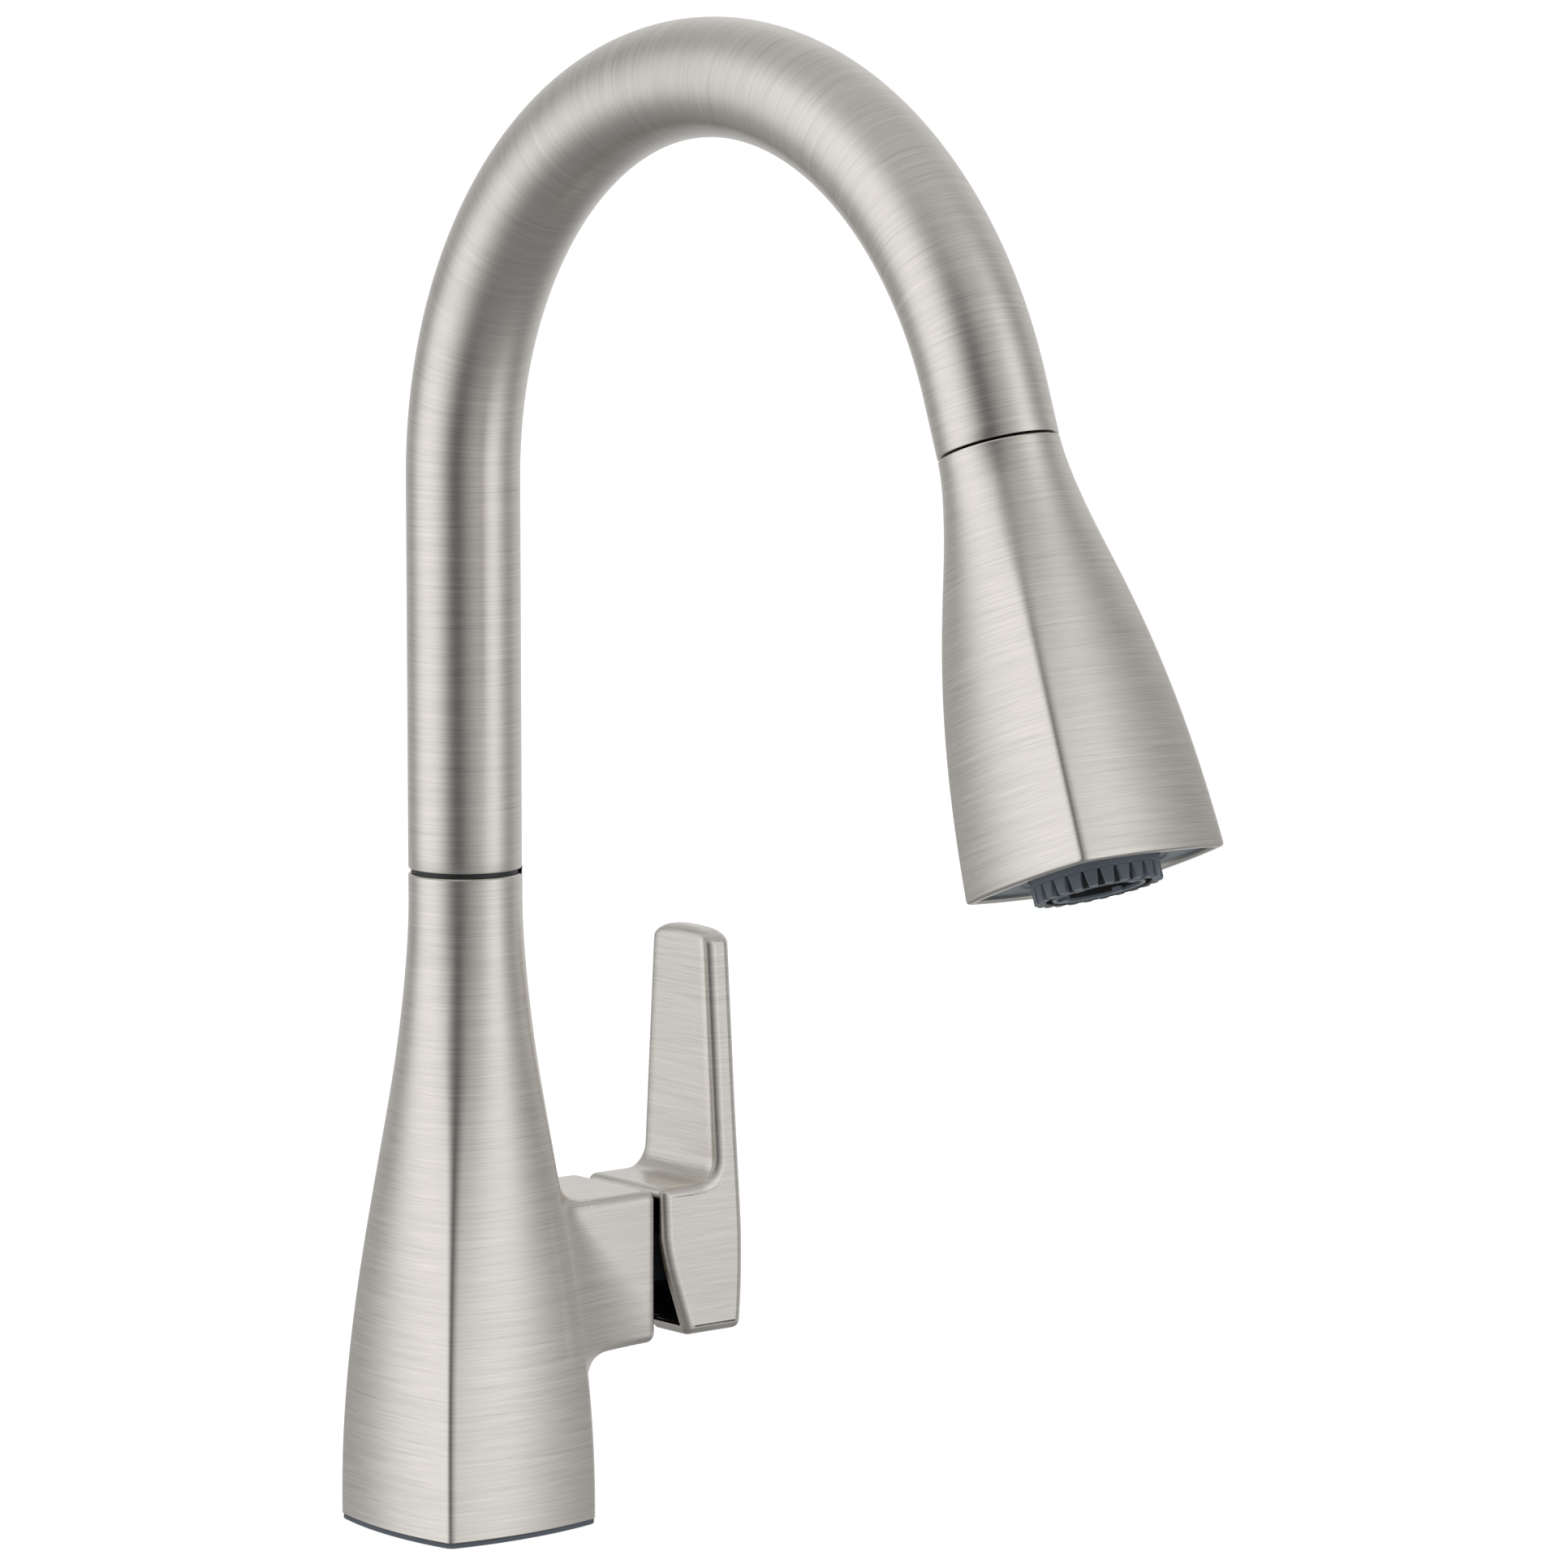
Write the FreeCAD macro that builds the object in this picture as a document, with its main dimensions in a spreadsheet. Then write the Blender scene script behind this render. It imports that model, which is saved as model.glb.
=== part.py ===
"""Pull-down kitchen faucet: a parametric FreeCAD model, one document object per physical piece.

Frame: millimetres, +Z up, origin on the axis of the column in the plane of the worktop.
The spout points towards -Y and the valve with its lever is on +X.
Two local frames are used besides it, each held by a sub-part's Placement:
  valve frame   local Z is +X, origin where the valve axis crosses the column axis
  wand frame    local Z runs up the leaning axis of the spray head, origin at its docking seam
"""
import FreeCAD, Part

import math
import os
import re

import Sketcher
from FreeCAD import Placement, Rotation, Vector

doc = FreeCAD.newDocument("pull_down_faucet")
sheet = doc.addObject("Spreadsheet::Sheet", "Dims")

DIMENSIONS = {
    # allowances
    "over_cut": 1.0,
    "fit_gap": 0.1,
    "seal_gap": 0.03,
    # foot and body, whose section is a square of bulged arcs that becomes a circle at the neck
    "gasket_thick": 1.2,
    "gasket_inset": 0.3,
    "gasket_hole_radius": 17.0,
    "body_top": 166.6,
    "neck_half": 10.112,
    "neck_bulge": 4.188,
    "foot_half": 23.2,
    "foot_bulge": 2.9,
    "flare_top": 160.0,
    "flare_height": 155.0,
    "flare_skew": 0.88,
    "body_wall": 2.5,
    "cavity_top": 118.0,
    "neck_bore_radius": 12.4,
    # valve boss on the +X side
    "valve_height": 62.2,
    "boss_end": 48.0,
    "boss_half_width": 17.0,
    "boss_half_height": 19.7,
    "boss_root": 10.0,
    "boss_edge_round": 2.5,
    "boss_bore_radius": 14.0,
    "boss_bore_root": 12.0,
    # waterway casting inside the body
    "core_bottom": 1.6,
    "core_ports": 9.2,
    "core_top": 84.0,
    "core_radius": 14.9,
    "skirt_radius": 19.4,
    "flange_thick": 3.0,
    "seat_plane": 15.0,
    "seat_radius": 13.8,
    "cup_end": 30.0,
    "cup_bore_radius": 12.6,
    "hose_channel_radius": 6.3,
    "port_radius": 3.5,
    "port_depth": 10.0,
    "side_port_out": 7.1,
    "side_port_across": 7.6,
    "mixed_port_out": 10.4,
    "drill_radius": 2.2,
    "inlet_drop": 4.6,
    "outlet_rise": 7.4,
    # valve cartridge, along the valve axis
    "cartridge_base": 15.6,
    "cartridge_floor": 18.0,
    "cartridge_radius": 12.5,
    "cartridge_inner_radius": 11.4,
    "cartridge_shoulder": 34.0,
    "cartridge_end": 36.0,
    "cartridge_mouth_radius": 9.1,
    "port_seal_width": 1.2,
    "disc_radius": 11.2,
    "disc_thick": 3.0,
    "disc_gap": 0.05,
    "slide_disc_radius": 7.6,
    "slide_disc_drop": 1.5,
    "carrier_face": 29.0,
    "carrier_end": 33.4,
    "carrier_slot_half": 2.15,
    "carrier_slot_half_width": 2.1,
    "rotor_base": 28.8,
    "rotor_flange_end": 33.8,
    "rotor_flange_radius": 11.3,
    "rotor_flange_bore": 9.4,
    "rotor_neck_radius": 9.0,
    "rotor_end": 44.0,
    "rotor_gap": 0.2,
    "rotor_slot_half_height": 5.7,
    "rotor_slot_half_width": 3.7,
    "pivot_out": 40.0,
    "pivot_pin_radius": 1.25,
    "pivot_pin_half": 7.8,
    "pivot_gap": 0.05,
    "retainer_end": 42.0,
    "retainer_radius": 13.93,
    "retainer_bore": 10.0,
    "retainer_notch_half": 1.6,
    "retainer_notch_depth": 2.5,
    # lever and its stem
    "stem_arm_radius": 1.9,
    "stem_arm_neck": 1.6,
    "stem_arm_start": 32.0,
    "stem_eye_radius": 3.2,
    "stem_half": 3.2,
    "stem_web_half": 2.4,
    "stem_shaft_start": 43.0,
    "stem_end": 63.0,
    "block_inner": 50.5,
    "block_outer": 76.4,
    "block_belly": 0.4,
    "block_corner": 0.6,
    "block_lift": 0.3,
    "block_wall": 2.5,
    "block_face": 73.6,
    "relief_start": 68.2,
    "relief_mid_out": 52.1,
    "relief_mid": 60.8,
    "relief_low_out": 57.9,
    "relief_low": 43.6,
    "blade_inner": 68.6,
    "blade_top": 146.6,
    "blade_foot": 71.0,
    "blade_top_half": 11.7,
    "blade_cut_width": 5.0,
    "blade_round": 1.6,
    "web_round": 6.0,
    "socket_half": 6.2,
    "socket_start": 53.0,
    "screw_out": 58.5,
    "screw_radius": 2.4,
    "screw_proud": 0.4,
    "screw_hex_half": 1.25,
    "screw_hex_depth": 2.0,
    "screw_access_radius": 3.0,
    # spout tube, hub and hose
    "tube_radius": 14.3,
    "tube_bore_radius": 13.1,
    "tube_bottom": 167.9,
    "bend_height": 266.06,
    "bend_radius": 102.66,
    "wand_lean": 19.76,
    "tube_tail": 14.5,
    "hub_bottom": 114.6,
    "hub_radius": 12.32,
    "hub_bore_radius": 9.0,
    "hub_plug_top": 184.0,
    "hub_plug_radius": 13.1,
    "ring_groove_radius": 11.2,
    "seal_section": 0.9,
    "seal_low": 126.0,
    "seal_high": 158.0,
    "seal_groove_half": 1.0,
    "seal_groove_radius": 10.5,
    "snap_low": 116.2,
    "snap_high": 117.4,
    "snap_radius": 13.4,
    "washer_low": 166.7,
    "washer_high": 167.8,
    "washer_radius": 13.6,
    "hose_radius": 5.75,
    "hose_bore_radius": 4.0,
    "hose_bottom": -66.0,
    "hose_offset": 6.0,
    "hose_ease_radius": 60.0,
    "hose_stop": 29.5,
    "coupling_radius": 6.6,
    "coupling_low": -80.0,
    "coupling_top": -57.0,
    "coupling_bore_radius": 3.5,
    # deck fixing below the worktop
    "shank_radius": 16.5,
    "washer_gap": 0.5,
    "shank_bore_radius": 14.75,
    "shank_bottom": -62.0,
    "shank_tip_radius": 15.9,
    "shank_tip": -50.0,
    "deck_thick": 30.0,
    "rubber_thick": 3.0,
    "steel_thick": 2.0,
    "clamp_radius": 27.0,
    "clamp_inset": 1.0,
    "nut_thick": 12.0,
    "clamp_screw_radius": 2.5,
    "clamp_screw_ring": 22.0,
    "clamp_screw_tail": 24.0,
    # spray head
    "wand_length": 101.2,
    "wand_seam_gap": 0.5,
    "wand_flare": 12.0,
    "wand_flare_base": 57.0,
    "wand_flare_rate": 0.6,
    "wand_mouth_bulge": 2.85,
    "wand_wall": 2.6,
    "wand_neck_depth": 14.0,
    "stem_top": 27.0,
    "stem_foot": 20.0,
    "stem_radius": 8.0,
    "stem_bore_radius": 5.0,
    "stem_socket": 13.0,
    "dock_groove": 8.0,
    "dock_groove_radius": 7.55,
    "dock_seal_gap": 0.02,
    "collar_depth": 14.0,
    "collar_bore_radius": 9.6,
    "ferrule_top": 28.6,
    "ferrule_radius": 7.0,
    "screen_thick": 1.0,
    "duct_radius": 7.2,
    "duct_bore_radius": 4.6,
    "duct_end": 62.0,
    "check_valve_depth": 25.0,
    "check_valve_length": 11.0,
    "chamber_radius": 17.4,
    "chamber_wall": 1.8,
    "chamber_end": 94.0,
    "bezel_recess": 1.2,
    "bezel_thick": 2.0,
    "ring_radius": 15.0,
    "ring_bore_radius": 12.4,
    "ring_reach": 3.9,
    "ring_base": 6.8,
    "tooth_count": 24.0,
    "tooth_half": 1.55,
    "tooth_tip_half": 0.95,
    "tooth_depth": 1.5,
    "tooth_root": 0.4,
    "tooth_foot_overlap": 0.2,
    "tooth_tip_overlap": 0.01,
    "ring_flange_radius": 16.2,
    "ring_flange_thick": 3.2,
    "ring_opening_radius": 15.3,
    "spray_radius": 12.3,
    "spray_bore_radius": 11.1,
    "spray_depth": 88.0,
    "spray_reach": 2.6,
    "spray_lip": 2.0,
    "plunger_radius": 5.0,
    "plunger_depth": 68.0,
    "plunger_length": 14.0,
    "aerator_radius": 10.9,
    "aerator_bore_radius": 9.5,
    "aerator_depth": 14.0,
    "aerator_screen_low": 6.0,
    "aerator_screen_high": 8.0,
    "key_half": 1.3,
    "key_reach": 1.5,
    "key_root": 0.5,
    "key_length": 2.0,
}

for row, (alias, value) in enumerate(DIMENSIONS.items(), start=1):
    sheet.set(f"A{row}", alias.replace("_", " "))
    sheet.set(f"B{row}", str(value))
    sheet.setAlias(f"B{row}", alias)
doc.recompute()

PARTS = []
BODY_SECTIONS = ("24", "50", "76", "100")
BODY_UPPER_SECTIONS = ("124", "146")
WAND_UPPER_SECTIONS = ("10", "24")
WAND_LOWER_SECTIONS = ("42", "62", "82")
CLAMP_SCREWS = 3
KEY_TABS = 4
HEX_CORNERS = 6
SEAM_ACROSS = "(0 - bend_radius - bend_radius * cos(wand_lean) - tube_tail * sin(wand_lean))"
SEAM_HEIGHT = "(bend_height + bend_radius * sin(wand_lean) - tube_tail * cos(wand_lean))"
BEND_END_ACROSS = "(0 - bend_radius - bend_radius * cos(wand_lean))"
BEND_END_HEIGHT = "(bend_height + bend_radius * sin(wand_lean))"


def dim(name):
    """The sheet's value of one dimension."""
    return float(sheet.get(name))


def linked(text):
    """An expression in which each dimension's name refers to its cell."""
    return re.sub(r"[a-z_]+", lambda word: "Dims." + word[0] if word[0] in DIMENSIONS else word[0], text)


def value_of(text):
    """The present number of such an expression, used to place geometry before it is constrained."""
    found = sheet.evalExpression(linked(text))
    return float(getattr(found, "Value", found))


def bind(item, **expressions):
    """Bind properties of a document object to expressions on the sheet."""
    for name, text in expressions.items():
        item.setExpression(name, linked(text))


def origin_feature(body, role):
    """One of a body's own origin planes or axes."""
    return next(item for item in body.Origin.OriginFeatures if item.Role == role)


def new_body(label):
    """A sub-part made with PartDesign features."""
    body = doc.addObject("PartDesign::Body", label)
    body.Label = label
    PARTS.append(body)
    return body


def sketch_on(body, role="XZ_Plane", height="0"):
    """An empty sketch on a body's origin plane, raised off it by an expression."""
    sketch = body.newObject("Sketcher::SketchObject", body.Label + "_sketch")
    sketch.AttachmentSupport = (origin_feature(body, role), "")
    sketch.MapMode = "FlatFace"
    sketch.setExpression(".AttachmentOffset.Base.z", linked(height))
    return sketch


def pin_point(sketch, geometry, point, across, up):
    """Hold a sketch point at two expressions measured from the sketch's origin."""
    for kind, text in (("DistanceX", across), ("DistanceY", up)):
        index = sketch.addConstraint(Sketcher.Constraint(kind, -1, 1, geometry, point, value_of(text)))
        sketch.setExpression(f"Constraints[{index}]", linked(text))


def add_circle(sketch, radius, across="0", up="0"):
    """A circle whose radius and centre follow expressions."""
    centre = Vector(value_of(across), value_of(up), 0)
    circle = sketch.addGeometry(Part.Circle(centre, Vector(0, 0, 1), value_of(radius)))
    pin_point(sketch, circle, 3, across, up)
    index = sketch.addConstraint(Sketcher.Constraint("Radius", circle, value_of(radius)))
    sketch.setExpression(f"Constraints[{index}]", linked(radius))


def add_outline(sketch, points, closed=True):
    """A closed outline, or an open path, of edges through points given as pairs of expressions.

    A third entry in a point makes the edge that leaves it an arc of that radius: positive
    bulges to the right of the way to the next point, negative to the left.
    """
    places = [Vector(value_of(point[0]), value_of(point[1]), 0) for point in points]
    edges = []
    count = len(points) if closed else len(points) - 1
    for index, point in enumerate(points[:count]):
        start = places[index]
        end = places[(index + 1) % len(points)]
        if len(point) == 3:
            radius = value_of(point[2])
            chord = end - start
            side = Vector(chord.y, -chord.x, 0).normalize()
            rise = math.sqrt(max(radius * radius - chord.Length * chord.Length / 4, 0))
            sagitta = math.copysign(abs(radius) - rise, radius)
            edge = sketch.addGeometry(Part.Arc(start, (start + end) * 0.5 + side * sagitta, end))
        else:
            edge = sketch.addGeometry(Part.LineSegment(start, end))
        forwards = (sketch.getPoint(edge, 1) - start).Length < 1e-6
        edges.append((edge, (1, 2) if forwards else (2, 1)))
    for index, point in enumerate(points[:count]):
        edge, (first, last) = edges[index]
        if closed or index + 1 < count:
            following, (entry, _) = edges[(index + 1) % count]
            sketch.addConstraint(Sketcher.Constraint("Coincident", edge, last, following, entry))
        else:
            pin_point(sketch, edge, last, *points[-1])
        pin_point(sketch, edge, first, point[0], point[1])
        if len(point) == 3:
            size = f"abs({point[2]})"
            fixed = sketch.addConstraint(Sketcher.Constraint("Radius", edge, abs(value_of(point[2]))))
            sketch.setExpression(f"Constraints[{fixed}]", linked(size))


def revolved(body, points):
    """Revolve an outline of (radius, height) pairs about the body's Z axis."""
    sketch = sketch_on(body)
    add_outline(sketch, points)
    turn = body.newObject("PartDesign::Revolution", body.Label + "_turn")
    turn.Profile = sketch
    turn.ReferenceAxis = (sketch, ["V_Axis"])
    turn.Angle = 360
    body.Tip = turn
    return turn


def padded(body, sketch, length, middle=False, back=False):
    """Add the sketch's outline, drawn out by a length."""
    pad = body.newObject("PartDesign::Pad", body.Label + "_pad")
    pad.Profile = sketch
    bind(pad, Length=length)
    pad.Midplane = middle
    pad.Reversed = back
    body.Tip = pad
    return pad


def pocketed(body, sketch, length=None, middle=False, back=False):
    """Cut the sketch's outline, through all or to a depth, and make sure that it removed metal."""
    doc.recompute()
    before = body.Shape.Volume
    pocket = body.newObject("PartDesign::Pocket", body.Label + "_pocket")
    pocket.Profile = sketch
    pocket.Midplane = middle
    pocket.Reversed = back
    if length is None:
        pocket.Type = "ThroughAll"
    else:
        bind(pocket, Length=length)
    body.Tip = pocket
    doc.recompute()
    if body.Shape.Volume >= before - 1e-6:
        raise RuntimeError(f"{body.Label}: {sketch.Name} cut nothing")
    return pocket


def round_hole(body, radius, across="0", up="0", role="XY_Plane", height="0", length=None, back=False):
    """A round hole square to one of the body's origin planes, from a height on, along its normal."""
    sketch = sketch_on(body, role, height)
    add_circle(sketch, radius, across, up)
    return pocketed(body, sketch, length, back=not back)


def box_outline(low_across, high_across, low_up, high_up):
    """The four corners of a rectangle."""
    return [(low_across, low_up), (high_across, low_up), (high_across, high_up), (low_across, high_up)]


def place_on_valve(body):
    """Turn the body's local Z to the valve axis, +X, and lift it there."""
    body.Placement = Placement(Vector(0, 0, dim("valve_height")), Rotation(Vector(0, 1, 0), 90))
    body.setExpression(".Placement.Base.z", linked("valve_height"))


def place_on_wand(body):
    """Put the body's origin at the docking seam, with local Z up the leaning axis of the spray head."""
    seam = Vector(0, value_of(SEAM_ACROSS), value_of(SEAM_HEIGHT))
    body.Placement = Placement(seam, Rotation(Vector(1, 0, 0), -dim("wand_lean")))
    body.setExpression(".Placement.Base.y", linked(SEAM_ACROSS))
    body.setExpression(".Placement.Base.z", linked(SEAM_HEIGHT))


def ring(label, inner, outer, low, high, place=None):
    """A plain ring or sleeve about the local Z axis."""
    body = new_body(label)
    revolved(body, box_outline(inner, outer, low, high))
    if place:
        place(body)
    return body


def round_cord_rings(label, centre_radius, section, heights, place=None):
    """Round-section seal rings at several heights, one solid each, in one node."""
    rings = []
    for index, height in enumerate(heights):
        seal = doc.addObject("Part::Torus", f"{label}_{index}")
        bind(seal, Radius1=centre_radius, Radius2=section)
        seal.setExpression(".Placement.Base.z", linked(height))
        rings.append(seal)
    group = doc.addObject("Part::Compound", label)
    group.Label = label
    group.Links = rings
    if place:
        place(group)
    PARTS.append(group)
    return group


def bulged_square(half, bulge):
    """A square section of four equal arcs: half is its corner, bulge its mid-side rise."""
    radius = f"(({half})^2 + ({bulge})^2) / (2 * ({bulge}))"
    return [
        (f"0 - ({half})", f"0 - ({half})", radius),
        (half, f"0 - ({half})", radius),
        (half, half, radius),
        (f"0 - ({half})", half, radius),
    ]


def body_half(height):
    """Corner half width of the body at a height: an S curve from the neck's circle to the foot."""
    share = f"((flare_top - ({height})) / flare_height)"
    return f"(neck_half + (foot_half - neck_half) * (1 - cos(180 * {share}^flare_skew)) / 2)"


def body_bulge(half):
    """Mid-side rise of the body's section that has a given corner."""
    return f"(neck_bulge + (foot_bulge - neck_bulge) * ({half} - neck_half) / (foot_half - neck_half))"


def wand_half(depth):
    """Corner half width of the spray head at a depth below its seam."""
    turn = f"(180 * ({depth}) / (wand_flare_base + wand_flare_rate * ({depth})))"
    return f"(neck_half + wand_flare * (1 - cos({turn})) / 2)"


def wand_bulge(half):
    """Mid-side rise of the spray head's section that has a given corner."""
    return (
        f"(neck_bulge + (wand_mouth_bulge - neck_bulge)"
        f" * ({half} - neck_half) / ({wand_half('wand_length')} - neck_half))"
    )


def lofted(body, sections, cut=False):
    """A smooth loft through (height, half, bulge) sections."""
    sketches = []
    for height, half, bulge in sections:
        sketch = sketch_on(body, "XY_Plane", height)
        add_outline(sketch, bulged_square(half, bulge))
        sketches.append(sketch)
    kind = "PartDesign::SubtractiveLoft" if cut else "PartDesign::AdditiveLoft"
    loft = body.newObject(kind, body.Label + "_loft")
    loft.Profile = sketches[0]
    loft.Sections = sketches[1:]
    loft.Ruled = False
    body.Tip = loft
    doc.recompute()
    return loft


def make_deck_gasket():
    """The foam gasket between the foot and the worktop."""
    body = new_body("deck_gasket")
    sketch = sketch_on(body, "XY_Plane")
    half = f"({body_half('gasket_thick')} - gasket_inset)"
    add_outline(sketch, bulged_square(half, "foot_bulge"))
    add_circle(sketch, "gasket_hole_radius")
    padded(body, sketch, "gasket_thick")


def make_body_shell():
    """The cast body: flaring square shell with the valve boss and the swivel bore."""
    body = new_body("body_shell")
    heights = ["gasket_thick", *BODY_SECTIONS, *BODY_UPPER_SECTIONS, "flare_top"]
    lofted(body, [(h, body_half(h), body_bulge(body_half(h))) for h in heights])
    neck = sketch_on(body, "XY_Plane", "flare_top")
    add_circle(neck, "tube_radius")
    padded(body, neck, "body_top - flare_top")
    boss = sketch_on(body, "YZ_Plane", "boss_root")
    add_outline(boss, rounded_box("boss_half_width", "valve_height", "boss_half_height", "boss_edge_round"))
    padded(body, boss, "boss_end - boss_root")
    inner_heights = ["gasket_thick", *BODY_SECTIONS, "cavity_top"]
    inner = [(h, f"({body_half(h)} - body_wall)", body_bulge(body_half(h))) for h in inner_heights]
    lofted(body, inner, cut=True)
    round_hole(body, "neck_bore_radius", height="cavity_top - over_cut")
    round_hole(
        body, "boss_bore_radius", "0", "valve_height", role="YZ_Plane", height="boss_bore_root"
    )


def rounded_box(half_across, centre_up, half_up, corner):
    """A rectangle with rounded corners, centred across and at a height."""
    return [
        (f"0 - {half_across} + {corner}", f"{centre_up} - {half_up}"),
        (f"{half_across} - {corner}", f"{centre_up} - {half_up}", corner),
        (half_across, f"{centre_up} - {half_up} + {corner}"),
        (half_across, f"{centre_up} + {half_up} - {corner}", corner),
        (f"{half_across} - {corner}", f"{centre_up} + {half_up}"),
        (f"0 - {half_across} + {corner}", f"{centre_up} + {half_up}", corner),
        (f"0 - {half_across}", f"{centre_up} + {half_up} - {corner}"),
        (f"0 - {half_across}", f"{centre_up} - {half_up} + {corner}", corner),
    ]


def make_waterway_core():
    """The brass casting inside the body: ports below, hose channel up the middle, valve seat on +X."""
    body = new_body("waterway_core")
    revolved(body, box_outline("hose_channel_radius", "core_radius", "core_ports", "core_top"))
    skirt = sketch_on(body, "XY_Plane", "core_bottom")
    add_circle(skirt, "skirt_radius")
    add_circle(skirt, "shank_radius")
    padded(body, skirt, "core_ports - core_bottom")
    flange = sketch_on(body, "XY_Plane", "core_ports")
    flange_half = body_half("core_ports + flange_thick")
    add_outline(flange, bulged_square(f"({flange_half} - body_wall - fit_gap)", body_bulge(flange_half)))
    add_circle(flange, "hose_channel_radius")
    padded(body, flange, "flange_thick")
    branch = sketch_on(body, "YZ_Plane", "hose_channel_radius + over_cut")
    add_circle(branch, "seat_radius", "0", "valve_height")
    padded(body, branch, "seat_plane - hose_channel_radius - over_cut")
    cup = sketch_on(body, "YZ_Plane", "seat_plane")
    add_circle(cup, "seat_radius", "0", "valve_height")
    add_circle(cup, "cup_bore_radius", "0", "valve_height")
    padded(body, cup, "cup_end - seat_plane")
    ports = [
        ("side_port_out", "side_port_across", "valve_height - inlet_drop"),
        ("side_port_out", "0 - side_port_across", "valve_height - inlet_drop"),
        ("mixed_port_out", "0", "valve_height + outlet_rise"),
    ]
    for out, across, drill_top in ports:
        round_hole(
            body, "port_radius", out, across, height="core_ports - over_cut", length="port_depth + over_cut"
        )
        round_hole(
            body, "drill_radius", out, across, height="core_ports", length=f"{drill_top} - core_ports"
        )
        round_hole(
            body, "drill_radius", across, drill_top, role="YZ_Plane", height=out,
            length=f"seat_plane - {out}",
        )


def make_deck_fixing():
    """The threaded shank and everything that clamps it below the worktop."""
    shank = new_body("mounting_shank")
    outline = [
        ("shank_bore_radius", "shank_bottom"),
        ("shank_tip_radius", "shank_bottom"),
        ("shank_tip_radius", "shank_tip"),
        ("shank_radius", "shank_tip"),
        ("shank_radius", "core_ports"),
        ("shank_bore_radius", "core_ports"),
    ]
    revolved(shank, outline)
    under = "0 - deck_thick"
    steel_top = f"{under} - rubber_thick"
    nut_top = f"{steel_top} - steel_thick"
    washer_bore = "shank_radius + washer_gap"
    steel_radius = "clamp_radius - clamp_inset"
    ring("deck_rubber_washer", washer_bore, "clamp_radius", steel_top, under)
    ring("deck_steel_washer", washer_bore, steel_radius, nut_top, steel_top)
    nut = new_body("mounting_nut")
    revolved(nut, box_outline("shank_radius", steel_radius, f"{nut_top} - nut_thick", nut_top))
    screw_hole = round_hole(
        nut, "clamp_screw_radius", "clamp_screw_ring", "0", height=f"{nut_top} - nut_thick - over_cut"
    )
    around(nut, screw_hole, "nut_holes", CLAMP_SCREWS)
    screws = []
    for index in range(CLAMP_SCREWS):
        screw = doc.addObject("Part::Cylinder", f"clamp_screw_{index}")
        bind(screw, Radius="clamp_screw_radius", Height="clamp_screw_tail")
        angle = 360 * index / CLAMP_SCREWS
        screw.setExpression(".Placement.Base.x", linked(f"clamp_screw_ring * cos({angle})"))
        screw.setExpression(".Placement.Base.y", linked(f"clamp_screw_ring * sin({angle})"))
        screw.setExpression(".Placement.Base.z", linked(f"{nut_top} - clamp_screw_tail"))
        screws.append(screw)
    group = doc.addObject("Part::Compound", "nut_clamp_screws")
    group.Label = "nut_clamp_screws"
    group.Links = screws
    PARTS.append(group)


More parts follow.
